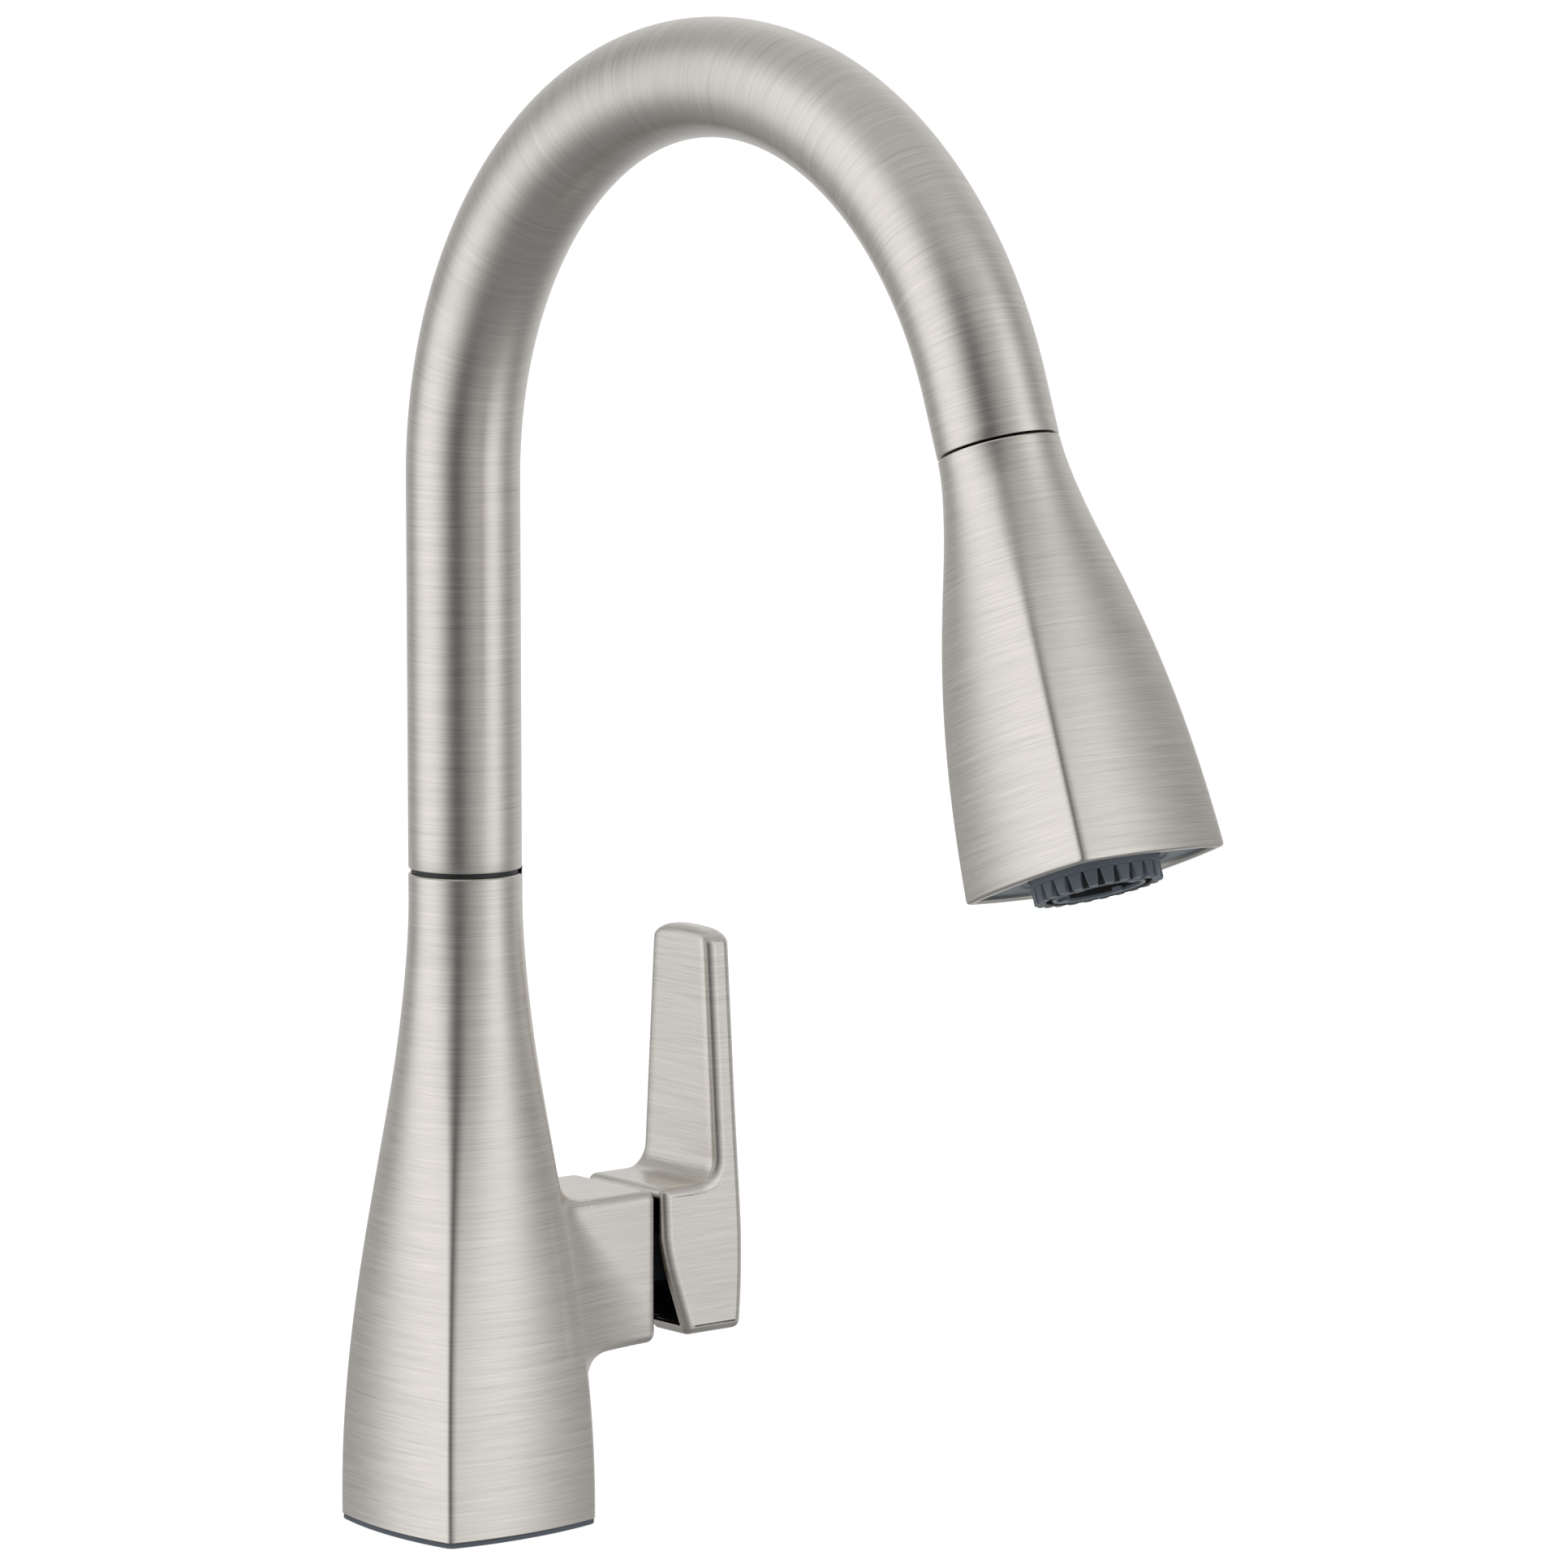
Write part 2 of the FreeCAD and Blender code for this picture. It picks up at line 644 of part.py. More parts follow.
def make_cartridge():
    """The ceramic valve cartridge, piece by piece along the valve axis."""
    housing = new_body("cartridge_housing")
    outline = [
        ("0", "cartridge_base"),
        ("cartridge_radius", "cartridge_base"),
        ("cartridge_radius", "cartridge_end"),
        ("cartridge_mouth_radius", "cartridge_end"),
        ("cartridge_mouth_radius", "cartridge_shoulder"),
        ("cartridge_inner_radius", "cartridge_shoulder"),
        ("cartridge_inner_radius", "cartridge_floor"),
        ("0", "cartridge_floor"),
    ]
    revolved(housing, outline)
    disc = new_body("fixed_ceramic_disc")
    revolved(disc, box_outline("0", "disc_radius", "cartridge_floor", "cartridge_floor + disc_thick"))
    for body in (housing, disc):
        for up, across in valve_holes():
            round_hole(body, "drill_radius", up, across, height="cartridge_base - over_cut")
        place_on_valve(body)
    seals = new_body("cartridge_seals")
    rings = sketch_on(seals, "XY_Plane", "seat_plane")
    for up, across in valve_holes():
        add_circle(rings, "drill_radius", up, across)
        add_circle(rings, "drill_radius + port_seal_width", up, across)
    seals.AllowCompound = True
    padded(seals, rings, "cartridge_base - seat_plane")
    place_on_valve(seals)

    slide = new_body("moving_ceramic_disc")
    slide_base = "cartridge_floor + disc_thick + disc_gap"
    plate = sketch_on(slide, "XY_Plane", slide_base)
    add_circle(plate, "slide_disc_radius", "slide_disc_drop", "0")
    padded(slide, plate, "disc_thick - disc_gap")
    place_on_valve(slide)
    carrier = new_body("disc_carrier")
    puck = sketch_on(carrier, "XY_Plane", "cartridge_floor + disc_thick * 2")
    add_circle(puck, "slide_disc_radius", "slide_disc_drop", "0")
    padded(carrier, puck, "carrier_end - cartridge_floor - disc_thick * 2")
    slot = sketch_on(carrier, "XY_Plane", "carrier_face")
    corners = box_outline(
        "0 - carrier_slot_half", "carrier_slot_half",
        "0 - carrier_slot_half_width", "carrier_slot_half_width",
    )
    add_outline(slot, corners)
    pocketed(carrier, slot, back=True)
    place_on_valve(carrier)

    rotor = new_body("cartridge_rotor")
    outline = [
        ("rotor_flange_bore", "rotor_base"),
        ("rotor_flange_radius", "rotor_base"),
        ("rotor_flange_radius", "rotor_flange_end"),
        ("rotor_neck_radius", "rotor_flange_end"),
        ("rotor_neck_radius", "rotor_end"),
        ("0", "rotor_end"),
        ("0", "carrier_end + rotor_gap"),
        ("rotor_flange_bore", "carrier_end + rotor_gap"),
    ]
    revolved(rotor, outline)
    window = sketch_on(rotor, "XY_Plane", "carrier_end")
    corners = box_outline(
        "0 - rotor_slot_half_height", "rotor_slot_half_height",
        "0 - rotor_slot_half_width", "rotor_slot_half_width",
    )
    add_outline(window, corners)
    pocketed(rotor, window, back=True)
    pin_way = "0 - rotor_flange_radius - over_cut"
    round_hole(rotor, "pivot_pin_radius", "0", "pivot_out", role="XZ_Plane", height=pin_way)
    place_on_valve(rotor)

    pin = new_body("stem_pivot_pin")
    rod = sketch_on(pin, "XZ_Plane")
    add_circle(rod, "pivot_pin_radius", "0", "pivot_out")
    padded(pin, rod, "pivot_pin_half * 2", middle=True)
    place_on_valve(pin)

    retainer = ring(
        "cartridge_retaining_nut", "retainer_bore", "retainer_radius", "cartridge_end", "retainer_end",
        place_on_valve,
    )
    notch = sketch_on(retainer, "XY_Plane", "retainer_end - retainer_notch_depth")
    corners = box_outline(
        "0 - retainer_notch_half", "retainer_notch_half",
        "0 - retainer_radius - over_cut", "retainer_radius + over_cut",
    )
    add_outline(notch, corners)
    pocketed(retainer, notch, back=True)


def valve_holes():
    """Centres of the valve's two inlets and its outlet, in the valve frame."""
    return [
        ("inlet_drop", "side_port_across"),
        ("inlet_drop", "0 - side_port_across"),
        ("0 - outlet_rise", "0"),
    ]


def make_lever():
    """The hollow lever, the stem that it is fixed to and its set screw."""
    lever = new_body("lever_handle")
    floor = "valve_height - boss_half_height + block_lift"
    roof = "valve_height + boss_half_height"
    side = sketch_on(lever)
    add_outline(side, [
        ("block_inner", "relief_start"),
        ("relief_mid_out", "relief_mid"),
        ("relief_low_out", "relief_low"),
        ("relief_low_out + block_corner", floor),
        ("block_outer - block_corner", floor),
        ("block_outer + block_belly", "valve_height"),
        ("block_outer", "blade_top"),
        ("blade_inner + block_corner", "blade_top"),
        ("blade_inner", f"{roof} + web_round", "0 - web_round"),
        ("blade_inner - web_round", roof),
        ("block_inner", roof),
    ])
    padded(lever, side, "boss_half_width * 2", middle=True)
    waist = sketch_on(lever, "YZ_Plane", "block_inner")
    for sign in ("", "0 - "):
        taper = [
            (f"{sign}boss_half_width", "blade_foot"),
            (f"{sign}(boss_half_width + blade_cut_width)", "blade_foot"),
            (f"{sign}(boss_half_width + blade_cut_width)", "blade_top + over_cut"),
            (f"{sign}blade_top_half", "blade_top + over_cut"),
        ]
        add_outline(waist, taper[::-1] if sign else taper)
    pocketed(lever, waist, back=True)
    hollow = sketch_on(lever)
    inside = box_outline(
        "block_inner - over_cut", "block_face",
        "valve_height - boss_half_height + block_wall", f"{roof} - block_wall",
    )
    add_outline(hollow, inside)
    pocketed(lever, hollow, "(boss_half_width - block_wall) * 2", middle=True)
    post = sketch_on(lever, "YZ_Plane", "socket_start")
    add_outline(post, square_at("socket_half", "valve_height"))
    add_outline(post, square_at("stem_half", "valve_height"))
    padded(lever, post, "block_face - socket_start")
    round_hole(
        lever, "screw_radius", "screw_out", "0", height="valve_height - socket_half - over_cut",
        length="socket_half",
    )
    round_hole(
        lever, "screw_access_radius", "screw_out", "0", height=f"{floor} - over_cut",
        length="block_wall + over_cut * 2",
    )
    round_edges(lever, "blade_round", upright_edges)

    stem = new_body("cartridge_stem")
    shaft = sketch_on(stem, "YZ_Plane", "stem_shaft_start")
    add_outline(shaft, square_at("stem_half", "valve_height"))
    padded(stem, shaft, "stem_end - stem_shaft_start")
    eye = sketch_on(stem)
    add_circle(eye, "stem_eye_radius", "pivot_out", "valve_height")
    padded(stem, eye, "stem_half * 2", middle=True)
    web = sketch_on(stem, "YZ_Plane", "pivot_out")
    add_outline(web, square_at("stem_web_half", "valve_height"))
    padded(stem, web, "stem_shaft_start - pivot_out + over_cut")
    arm = sketch_on(stem, "YZ_Plane", "stem_arm_start")
    add_circle(arm, "stem_arm_neck", "0", "valve_height")
    padded(stem, arm, "pivot_out - stem_arm_start")
    tip = sketch_on(stem)
    add_circle(tip, "stem_arm_radius", "stem_arm_start", "valve_height")
    padded(stem, tip, "stem_arm_radius * 2", middle=True)
    round_hole(
        stem, "pivot_pin_radius + pivot_gap", "pivot_out", "valve_height", role="XZ_Plane",
        height="0 - rotor_flange_radius - over_cut",
    )

    screw = new_body("lever_set_screw")
    screw_foot = "valve_height - socket_half - screw_proud"
    thread = sketch_on(screw, "XY_Plane", screw_foot)
    add_circle(thread, "screw_radius", "screw_out")
    padded(screw, thread, "socket_half - stem_half + screw_proud")
    socket = sketch_on(screw, "XY_Plane", screw_foot)
    corners = []
    for index in range(HEX_CORNERS):
        angle = 360 * index / HEX_CORNERS
        corners.append((f"screw_out + screw_hex_half * cos({angle})", f"screw_hex_half * sin({angle})"))
    add_outline(socket, corners)
    pocketed(screw, socket, "screw_hex_depth", back=True)


def square_at(half, up):
    """A square centred across and at a height."""
    return box_outline(f"0 - ({half})", half, f"{up} - ({half})", f"{up} + ({half})")


def upright_edges(shape):
    """The long upright edges of the lever's blade."""
    names = []
    foot = dim("blade_foot") - dim("over_cut")
    long_enough = (dim("blade_top") - foot) / 2
    for index, edge in enumerate(shape.Edges, start=1):
        box = edge.BoundBox
        if box.ZMin > foot and box.ZLength > long_enough:
            names.append(f"Edge{index}")
    return names


def round_edges(body, radius, choose):
    """Fillet the edges that a function picks."""
    doc.recompute()
    base = body.Tip
    fillet = body.newObject("PartDesign::Fillet", body.Label + "_round")
    fillet.Base = (base, choose(base.Shape))
    bind(fillet, Radius=radius)
    body.Tip = fillet
    doc.recompute()


def swept(body, radius, bore, start, path):
    """A tube of a radius and bore along a path of (Y, Z) points that starts upwards at a height."""
    route = sketch_on(body, "YZ_Plane")
    add_outline(route, path, closed=False)
    section = sketch_on(body, "XY_Plane", start)
    add_circle(section, radius)
    add_circle(section, bore)
    pipe = body.newObject("PartDesign::AdditivePipe", body.Label + "_pipe")
    pipe.Profile = section
    pipe.Spine = route
    body.Tip = pipe
    doc.recompute()


def make_spout():
    """The gooseneck tube, its swivel hub and seals, and the dock at its mouth."""
    tube = new_body("spout_tube")
    swept(tube, "tube_radius", "tube_bore_radius", "tube_bottom", [
        ("0", "tube_bottom"),
        ("0", "bend_height", "bend_radius"),
        (BEND_END_ACROSS, BEND_END_HEIGHT),
        (SEAM_ACROSS, SEAM_HEIGHT),
    ])
    hub = new_body("swivel_hub")
    outline = [
        ("hub_bore_radius", "hub_bottom"),
        ("hub_radius", "hub_bottom"),
        ("hub_radius", "snap_low - fit_gap"),
        ("ring_groove_radius", "snap_low - fit_gap"),
        ("ring_groove_radius", "snap_high + fit_gap"),
        ("hub_radius", "snap_high + fit_gap"),
    ]
    for height in ("seal_low", "seal_high"):
        outline += [
            ("hub_radius", f"{height} - seal_groove_half"),
            ("seal_groove_radius", f"{height} - seal_groove_half"),
            ("seal_groove_radius", f"{height} + seal_groove_half"),
            ("hub_radius", f"{height} + seal_groove_half"),
        ]
    outline += [
        ("hub_radius", "tube_bottom"),
        ("hub_plug_radius", "tube_bottom"),
        ("hub_plug_radius", "hub_plug_top"),
        ("hub_bore_radius", "hub_plug_top"),
    ]
    revolved(hub, outline)
    centre_radius = "neck_bore_radius - seal_section - seal_gap"
    round_cord_rings("swivel_seals", centre_radius, "seal_section", ["seal_low", "seal_high"])
    ring("swivel_snap_ring", "ring_groove_radius", "snap_radius", "snap_low", "snap_high")
    ring("swivel_washer", "neck_bore_radius + fit_gap", "washer_radius", "washer_low", "washer_high")
    ring("dock_collar", "collar_bore_radius", "tube_bore_radius", "0", "collar_depth", place_on_wand)


def make_hose():
    """The pull-down hose along its whole route through the faucet, and its tail coupling."""
    ease = "sqrt(hose_offset * (2 * bend_radius + hose_offset - 2 * hose_ease_radius))"
    outer = "(bend_radius + hose_offset)"
    turn = f"asin({ease} / ({outer} - hose_ease_radius))"
    far_turn = f"(180deg - wand_lean * 1deg - {turn})"
    hose = new_body("pull_down_hose")
    swept(hose, "hose_radius", "hose_bore_radius", "hose_bottom", [
        ("0", "hose_bottom"),
        ("0", f"bend_height + {ease}", "hose_ease_radius"),
        (f"{outer} * cos({turn}) - bend_radius", f"bend_height + {outer} * sin({turn})", outer),
        (f"{outer} * cos({far_turn}) - bend_radius", f"bend_height + {outer} * sin({far_turn})",
         "hose_ease_radius"),
        (f"{BEND_END_ACROSS} + {ease} * sin(wand_lean)", f"{BEND_END_HEIGHT} + {ease} * cos(wand_lean)"),
        (f"{SEAM_ACROSS} + hose_stop * sin(wand_lean)", f"{SEAM_HEIGHT} + hose_stop * cos(wand_lean)"),
    ])
    coupling = new_body("hose_tail_coupling")
    revolved(coupling, [
        ("coupling_bore_radius", "coupling_low"),
        ("coupling_radius", "coupling_low"),
        ("coupling_radius", "coupling_top"),
        ("hose_radius", "coupling_top"),
        ("hose_radius", "hose_bottom"),
        ("coupling_bore_radius", "hose_bottom"),
    ])


def make_wand():
    """The spray head, with everything that does not turn or slide in it."""
    shell = new_body("wand_shell")
    depths = ["wand_seam_gap", *WAND_UPPER_SECTIONS, *WAND_LOWER_SECTIONS, "wand_length"]
    lofted(shell, [(f"0 - {d}", wand_half(d), wand_bulge(wand_half(d))) for d in depths])
    deep = ["wand_length", *reversed(WAND_LOWER_SECTIONS), "wand_neck_depth"]
    inner = [(f"0 - {d}", f"({wand_half(d)} - wand_wall)", wand_bulge(wand_half(d))) for d in deep]
    lofted(shell, inner, cut=True)
    round_hole(shell, "stem_radius", height="0 - wand_neck_depth - over_cut")
    place_on_wand(shell)

    stem = new_body("docking_stem")
    revolved(stem, [
        ("stem_bore_radius", "0 - stem_foot"),
        ("stem_radius", "0 - stem_foot"),
        ("stem_radius", "dock_groove - seal_groove_half"),
        ("dock_groove_radius", "dock_groove - seal_groove_half"),
        ("dock_groove_radius", "dock_groove + seal_groove_half"),
        ("stem_radius", "dock_groove + seal_groove_half"),
        ("stem_radius", "stem_top"),
        ("ferrule_radius", "stem_top"),
        ("ferrule_radius", "stem_socket"),
        ("stem_bore_radius", "stem_socket"),
    ])
    place_on_wand(stem)
    ring(
        "hose_end_ferrule", "hose_bore_radius", "ferrule_radius", "stem_socket", "ferrule_top",
        place_on_wand,
    )
    centre_radius = "dock_groove_radius + seal_section + dock_seal_gap"
    round_cord_rings("dock_seal", centre_radius, "seal_section", ["dock_groove"], place_on_wand)
    ring(
        "inlet_screen", "0", "stem_bore_radius", "0 - stem_foot", "0 - stem_foot + screen_thick",
        place_on_wand,
    )
    ring("wand_duct", "duct_bore_radius", "duct_radius", "0 - duct_end", "0 - stem_foot", place_on_wand)
    ring(
        "check_valve", "0", "duct_bore_radius", "0 - check_valve_depth - check_valve_length",
        "0 - check_valve_depth", place_on_wand,
    )
    chamber = new_body("spray_chamber")
    revolved(chamber, [
        ("duct_bore_radius", "0 - duct_end"),
        ("chamber_radius", "0 - duct_end"),
        ("chamber_radius", "0 - chamber_end"),
        ("chamber_radius - chamber_wall", "0 - chamber_end"),
        ("chamber_radius - chamber_wall", "0 - duct_end - chamber_wall"),
        ("duct_bore_radius", "0 - duct_end - chamber_wall"),
    ])
    place_on_wand(chamber)

    bezel = new_body("nozzle_bezel")
    bezel_low = "wand_length - bezel_recess"
    half = wand_half(f"({bezel_low} - bezel_thick)")
    plate = sketch_on(bezel, "XY_Plane", f"0 - {bezel_low}")
    add_outline(plate, bulged_square(f"({half} - wand_wall - fit_gap)", wand_bulge(half)))
    add_circle(plate, "ring_opening_radius")
    padded(bezel, plate, "bezel_thick")
    place_on_wand(bezel)

    face = new_body("spray_face")
    revolved(face, [
        ("spray_bore_radius", "0 - wand_length - spray_reach"),
        ("spray_radius", "0 - wand_length - spray_reach"),
        ("spray_radius", "0 - spray_depth"),
        ("chamber_radius - chamber_wall", "0 - spray_depth"),
        ("chamber_radius - chamber_wall", "0 - spray_depth + spray_lip"),
        ("spray_bore_radius", "0 - spray_depth + spray_lip"),
    ])
    place_on_wand(face)
    tip = "0 - wand_length - ring_reach"
    insert = new_body("aerator_insert")
    revolved(insert, box_outline("aerator_bore_radius", "aerator_radius", tip, f"{tip} + aerator_depth"))
    tab = sketch_on(insert, "XY_Plane", tip)
    inner = "aerator_bore_radius - key_reach"
    add_outline(tab, box_outline(inner, "aerator_bore_radius + key_root", "0 - key_half", "key_half"))
    tab_pad = padded(insert, tab, "key_length")
    around(insert, tab_pad, "key_tabs", KEY_TABS)
    place_on_wand(insert)
    ring(
        "aerator_screen", "0", "aerator_bore_radius", f"{tip} + aerator_screen_low",
        f"{tip} + aerator_screen_high", place_on_wand,
    )


def around(body, feature, name, count):
    """Repeat a feature evenly about the body's Z axis."""
    pattern = body.newObject("PartDesign::PolarPattern", name)
    pattern.Originals = [feature]
    pattern.Axis = (origin_feature(body, "Z_Axis"), [""])
    pattern.Angle = 360
    pattern.Occurrences = count
    body.Tip = pattern
    doc.recompute()


def make_selector():
    """The toothed ring that is twisted to change the spray, and the plunger that it moves."""
    selector = new_body("selector_ring")
    tip = "0 - wand_length - ring_reach"
    root = "ring_radius - tooth_depth"
    top = "0 - wand_length + ring_base"
    revolved(selector, [
        ("ring_bore_radius", tip),
        (root, tip),
        (root, f"{top} - ring_flange_thick"),
        ("ring_flange_radius", f"{top} - ring_flange_thick"),
        ("ring_flange_radius", top),
        ("ring_bore_radius", top),
    ])
    tooth = sketch_on(selector, "YZ_Plane", f"{root} - tooth_root")
    foot = f"{top} - ring_flange_thick + tooth_foot_overlap"
    add_outline(tooth, [
        ("0 - tooth_half", foot),
        ("0 - tooth_tip_half", f"{tip} - tooth_tip_overlap"),
        ("tooth_tip_half", f"{tip} - tooth_tip_overlap"),
        ("tooth_half", foot),
    ])
    tooth_pad = padded(selector, tooth, "tooth_depth + tooth_root")
    around(selector, tooth_pad, "teeth", int(dim("tooth_count")))
    place_on_wand(selector)
    ring(
        "diverter_plunger", "0", "plunger_radius", "0 - plunger_depth - plunger_length", "0 - plunger_depth",
        place_on_wand,
    )


def finish():
    """Check every object, then write each sub-part to its own STEP file."""
    doc.recompute()
    for item in doc.Objects:
        if "Invalid" in item.State or "Error" in item.State:
            raise RuntimeError(f"{item.Label} failed: {item.State}")
    os.makedirs("parts", exist_ok=True)
    for item in PARTS:
        shape = item.Shape
        if shape.isNull() or not shape.isValid():
            raise RuntimeError(f"{item.Label} has no valid shape")
        shape.exportStep(f"parts/{item.Label}.step")
        box = shape.BoundBox
        size = f"{box.XLength:.1f} x {box.YLength:.1f} x {box.ZLength:.1f}"
        print(f"{item.Label}: {len(shape.Solids)} solid, {shape.Volume:.0f} mm3, {size}")


make_deck_gasket()
make_body_shell()
make_waterway_core()
make_deck_fixing()
make_cartridge()
make_lever()
make_spout()
make_hose()
make_wand()
make_selector()
finish()
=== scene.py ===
"""Looks of a pull-down kitchen faucet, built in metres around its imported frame.

The frame's axes: +Z up along the column, -Y towards the sink, +X towards the lever. The spray
head is built in its own frame, whose Z runs up its leaning axis from the docking seam.
"""
import logging
import math
from dataclasses import dataclass
from enum import Enum
from typing import Callable, Iterable, Sequence

import bmesh
import bpy
import numpy as np
from mathutils import Matrix, Vector


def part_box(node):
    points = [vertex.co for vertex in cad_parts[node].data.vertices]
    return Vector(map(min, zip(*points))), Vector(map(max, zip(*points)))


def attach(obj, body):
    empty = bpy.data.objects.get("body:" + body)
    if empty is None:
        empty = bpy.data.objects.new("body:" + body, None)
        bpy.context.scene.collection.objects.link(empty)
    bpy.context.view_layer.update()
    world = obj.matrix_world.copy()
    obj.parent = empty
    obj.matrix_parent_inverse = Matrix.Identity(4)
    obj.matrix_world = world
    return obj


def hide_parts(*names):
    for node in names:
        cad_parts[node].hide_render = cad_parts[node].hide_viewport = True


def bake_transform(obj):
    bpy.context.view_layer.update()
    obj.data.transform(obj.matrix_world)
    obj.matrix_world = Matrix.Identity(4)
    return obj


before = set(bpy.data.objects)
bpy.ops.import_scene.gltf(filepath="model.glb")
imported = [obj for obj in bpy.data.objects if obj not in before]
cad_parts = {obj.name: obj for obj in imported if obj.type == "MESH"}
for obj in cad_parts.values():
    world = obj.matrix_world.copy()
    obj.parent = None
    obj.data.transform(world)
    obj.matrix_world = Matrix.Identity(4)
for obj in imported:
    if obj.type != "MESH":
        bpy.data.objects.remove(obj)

MM = 0.001
EDGE_SOFTNESS = 1.5
WHITE = (1.0, 1.0, 1.0, 1.0)
LOG = logging.getLogger("faucet")
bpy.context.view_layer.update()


# --------------------------------------------------------------------------- node trees


class Signal:
    """A number on a node's output, which can be used in ordinary arithmetic."""

    def __init__(self, bench: "NodeBench", socket: bpy.types.NodeSocket) -> None:
        """Wrap a socket.

        Args:
            bench: The bench whose tree the socket belongs to.
            socket: The output socket.
        """
        self.bench = bench
        self.socket = socket

    def _with(self, operation: str, *values: "Signal | float") -> "Signal":
        """Add one Math node.

        Args:
            operation: The Math node's operation.
            values: Its operands in order.

        Returns:
            The node's result.
        """
        node = self.bench.node("ShaderNodeMath", {"operation": operation}, dict(enumerate(values)))
        return Signal(self.bench, node.outputs[0])

    def __add__(self, other: "Signal | float") -> "Signal":
        """Sum."""
        return self._with("ADD", self, other)

    __radd__ = __add__

    def __sub__(self, other: "Signal | float") -> "Signal":
        """Difference."""
        return self._with("SUBTRACT", self, other)

    def __rsub__(self, other: float) -> "Signal":
        """Difference with the signal second."""
        return self._with("SUBTRACT", other, self)

    def __mul__(self, other: "Signal | float") -> "Signal":
        """Product."""
        return self._with("MULTIPLY", self, other)

    __rmul__ = __mul__

    def __truediv__(self, other: "Signal | float") -> "Signal":
        """Quotient."""
        return self._with("DIVIDE", self, other)

    def call(self, operation: str, *others: "Signal | float") -> "Signal":
        """Any other Math operation, such as SINE, MINIMUM or ARCTAN2."""
        return self._with(operation, self, *others)


class NodeBench:
    """Adds and links the nodes of one tree."""

    def __init__(self, tree: bpy.types.NodeTree) -> None:
        """Start with an empty tree.

        Args:
            tree: The tree to fill.
        """
        self.tree = tree
        tree.nodes.clear()

    def node(self, kind: str, settings: dict | None = None, inputs: dict | None = None) -> bpy.types.Node:
        """Add a node.

        Args:
            kind: The node's type.
            settings: Its own settings, which are set first. A list under "stops" fills a colour ramp.
            inputs: Values, sockets or signals by socket name or number.

        Returns:
            The new node.
        """
        made = self.tree.nodes.new(kind)
        for key, value in (settings or {}).items():
            if key == "stops":
                self._fill_ramp(made.color_ramp, value)
            else:
                setattr(made, key, value)
        for key, value in (inputs or {}).items():
            self.feed(made.inputs[key], value)
        return made

    def feed(self, socket: bpy.types.NodeSocket, value: object) -> None:
        """Link or set one input socket."""
        if isinstance(value, Signal):
            value = value.socket
        if isinstance(value, bpy.types.NodeSocket):
            self.tree.links.new(value, socket)
        else:
            socket.default_value = value

    def signal(self, kind: str, output: str | int, settings: dict | None = None,
               inputs: dict | None = None) -> Signal:
        """Add a node and take one of its outputs as a number."""
        return Signal(self, self.node(kind, settings, inputs).outputs[output])

    def split(self, vector: bpy.types.NodeSocket) -> list[Signal]:
        """The three components of a vector."""
        made = self.node("ShaderNodeSeparateXYZ", inputs={0: vector})
        return [Signal(self, out) for out in made.outputs]

    def join(self, *parts: Signal | float) -> bpy.types.NodeSocket:
        """A vector from three components."""
        return self.node("ShaderNodeCombineXYZ", inputs=dict(enumerate(parts))).outputs[0]

    def blend_colours(self, share: Signal | float, first: object, second: object) -> bpy.types.NodeSocket:
        """Mix two colours by a share.

        Args:
            share: 0 for the first colour, 1 for the second.
            first: A colour, or a socket that gives one.
            second: Another.

        Returns:
            The socket of the mixed colour.
        """
        made = self.node("ShaderNodeMix", {"data_type": "RGBA"}, {"Factor": share})
        self.feed(made.inputs[6], first)
        self.feed(made.inputs[7], second)
        return made.outputs[2]

    def noise(self, place: bpy.types.NodeSocket, scale: float, detail: float = 2.0,
              roughness: float = 0.5) -> Signal:
        """Fractal noise from 0 to 1 at a place.

        Args:
            place: Where on the surface.
            scale: Features per metre.
            detail: Octaves.
            roughness: How strong the fine octaves are.

        Returns:
            The noise.
        """
        values = {"Vector": place, "Scale": scale, "Detail": detail, "Roughness": roughness}
        return self.signal("ShaderNodeTexNoise", 0, inputs=values)

    def stretched(self, place: bpy.types.NodeSocket, scale: Sequence[float]) -> bpy.types.NodeSocket:
        """A place scaled by a vector."""
        made = self.node("ShaderNodeVectorMath", {"operation": "MULTIPLY"}, {0: place, 1: scale})
        return made.outputs[0]

    @staticmethod
    def _fill_ramp(ramp: bpy.types.ColorRamp, stops: Sequence[tuple]) -> None:
        """Give a colour ramp its stops, as (position, colour) pairs in order.

        Args:
            ramp: The ramp.
            stops: The pairs.
        """
        while len(ramp.elements) > 1:
            ramp.elements.remove(ramp.elements[-1])
        for index, (position, colour) in enumerate(stops):
            stop = ramp.elements[0] if index == 0 else ramp.elements.new(position)
            stop.position = position
            stop.color = colour


# --------------------------------------------------------------------------- finishes


Colour = tuple[float, float, float, float]


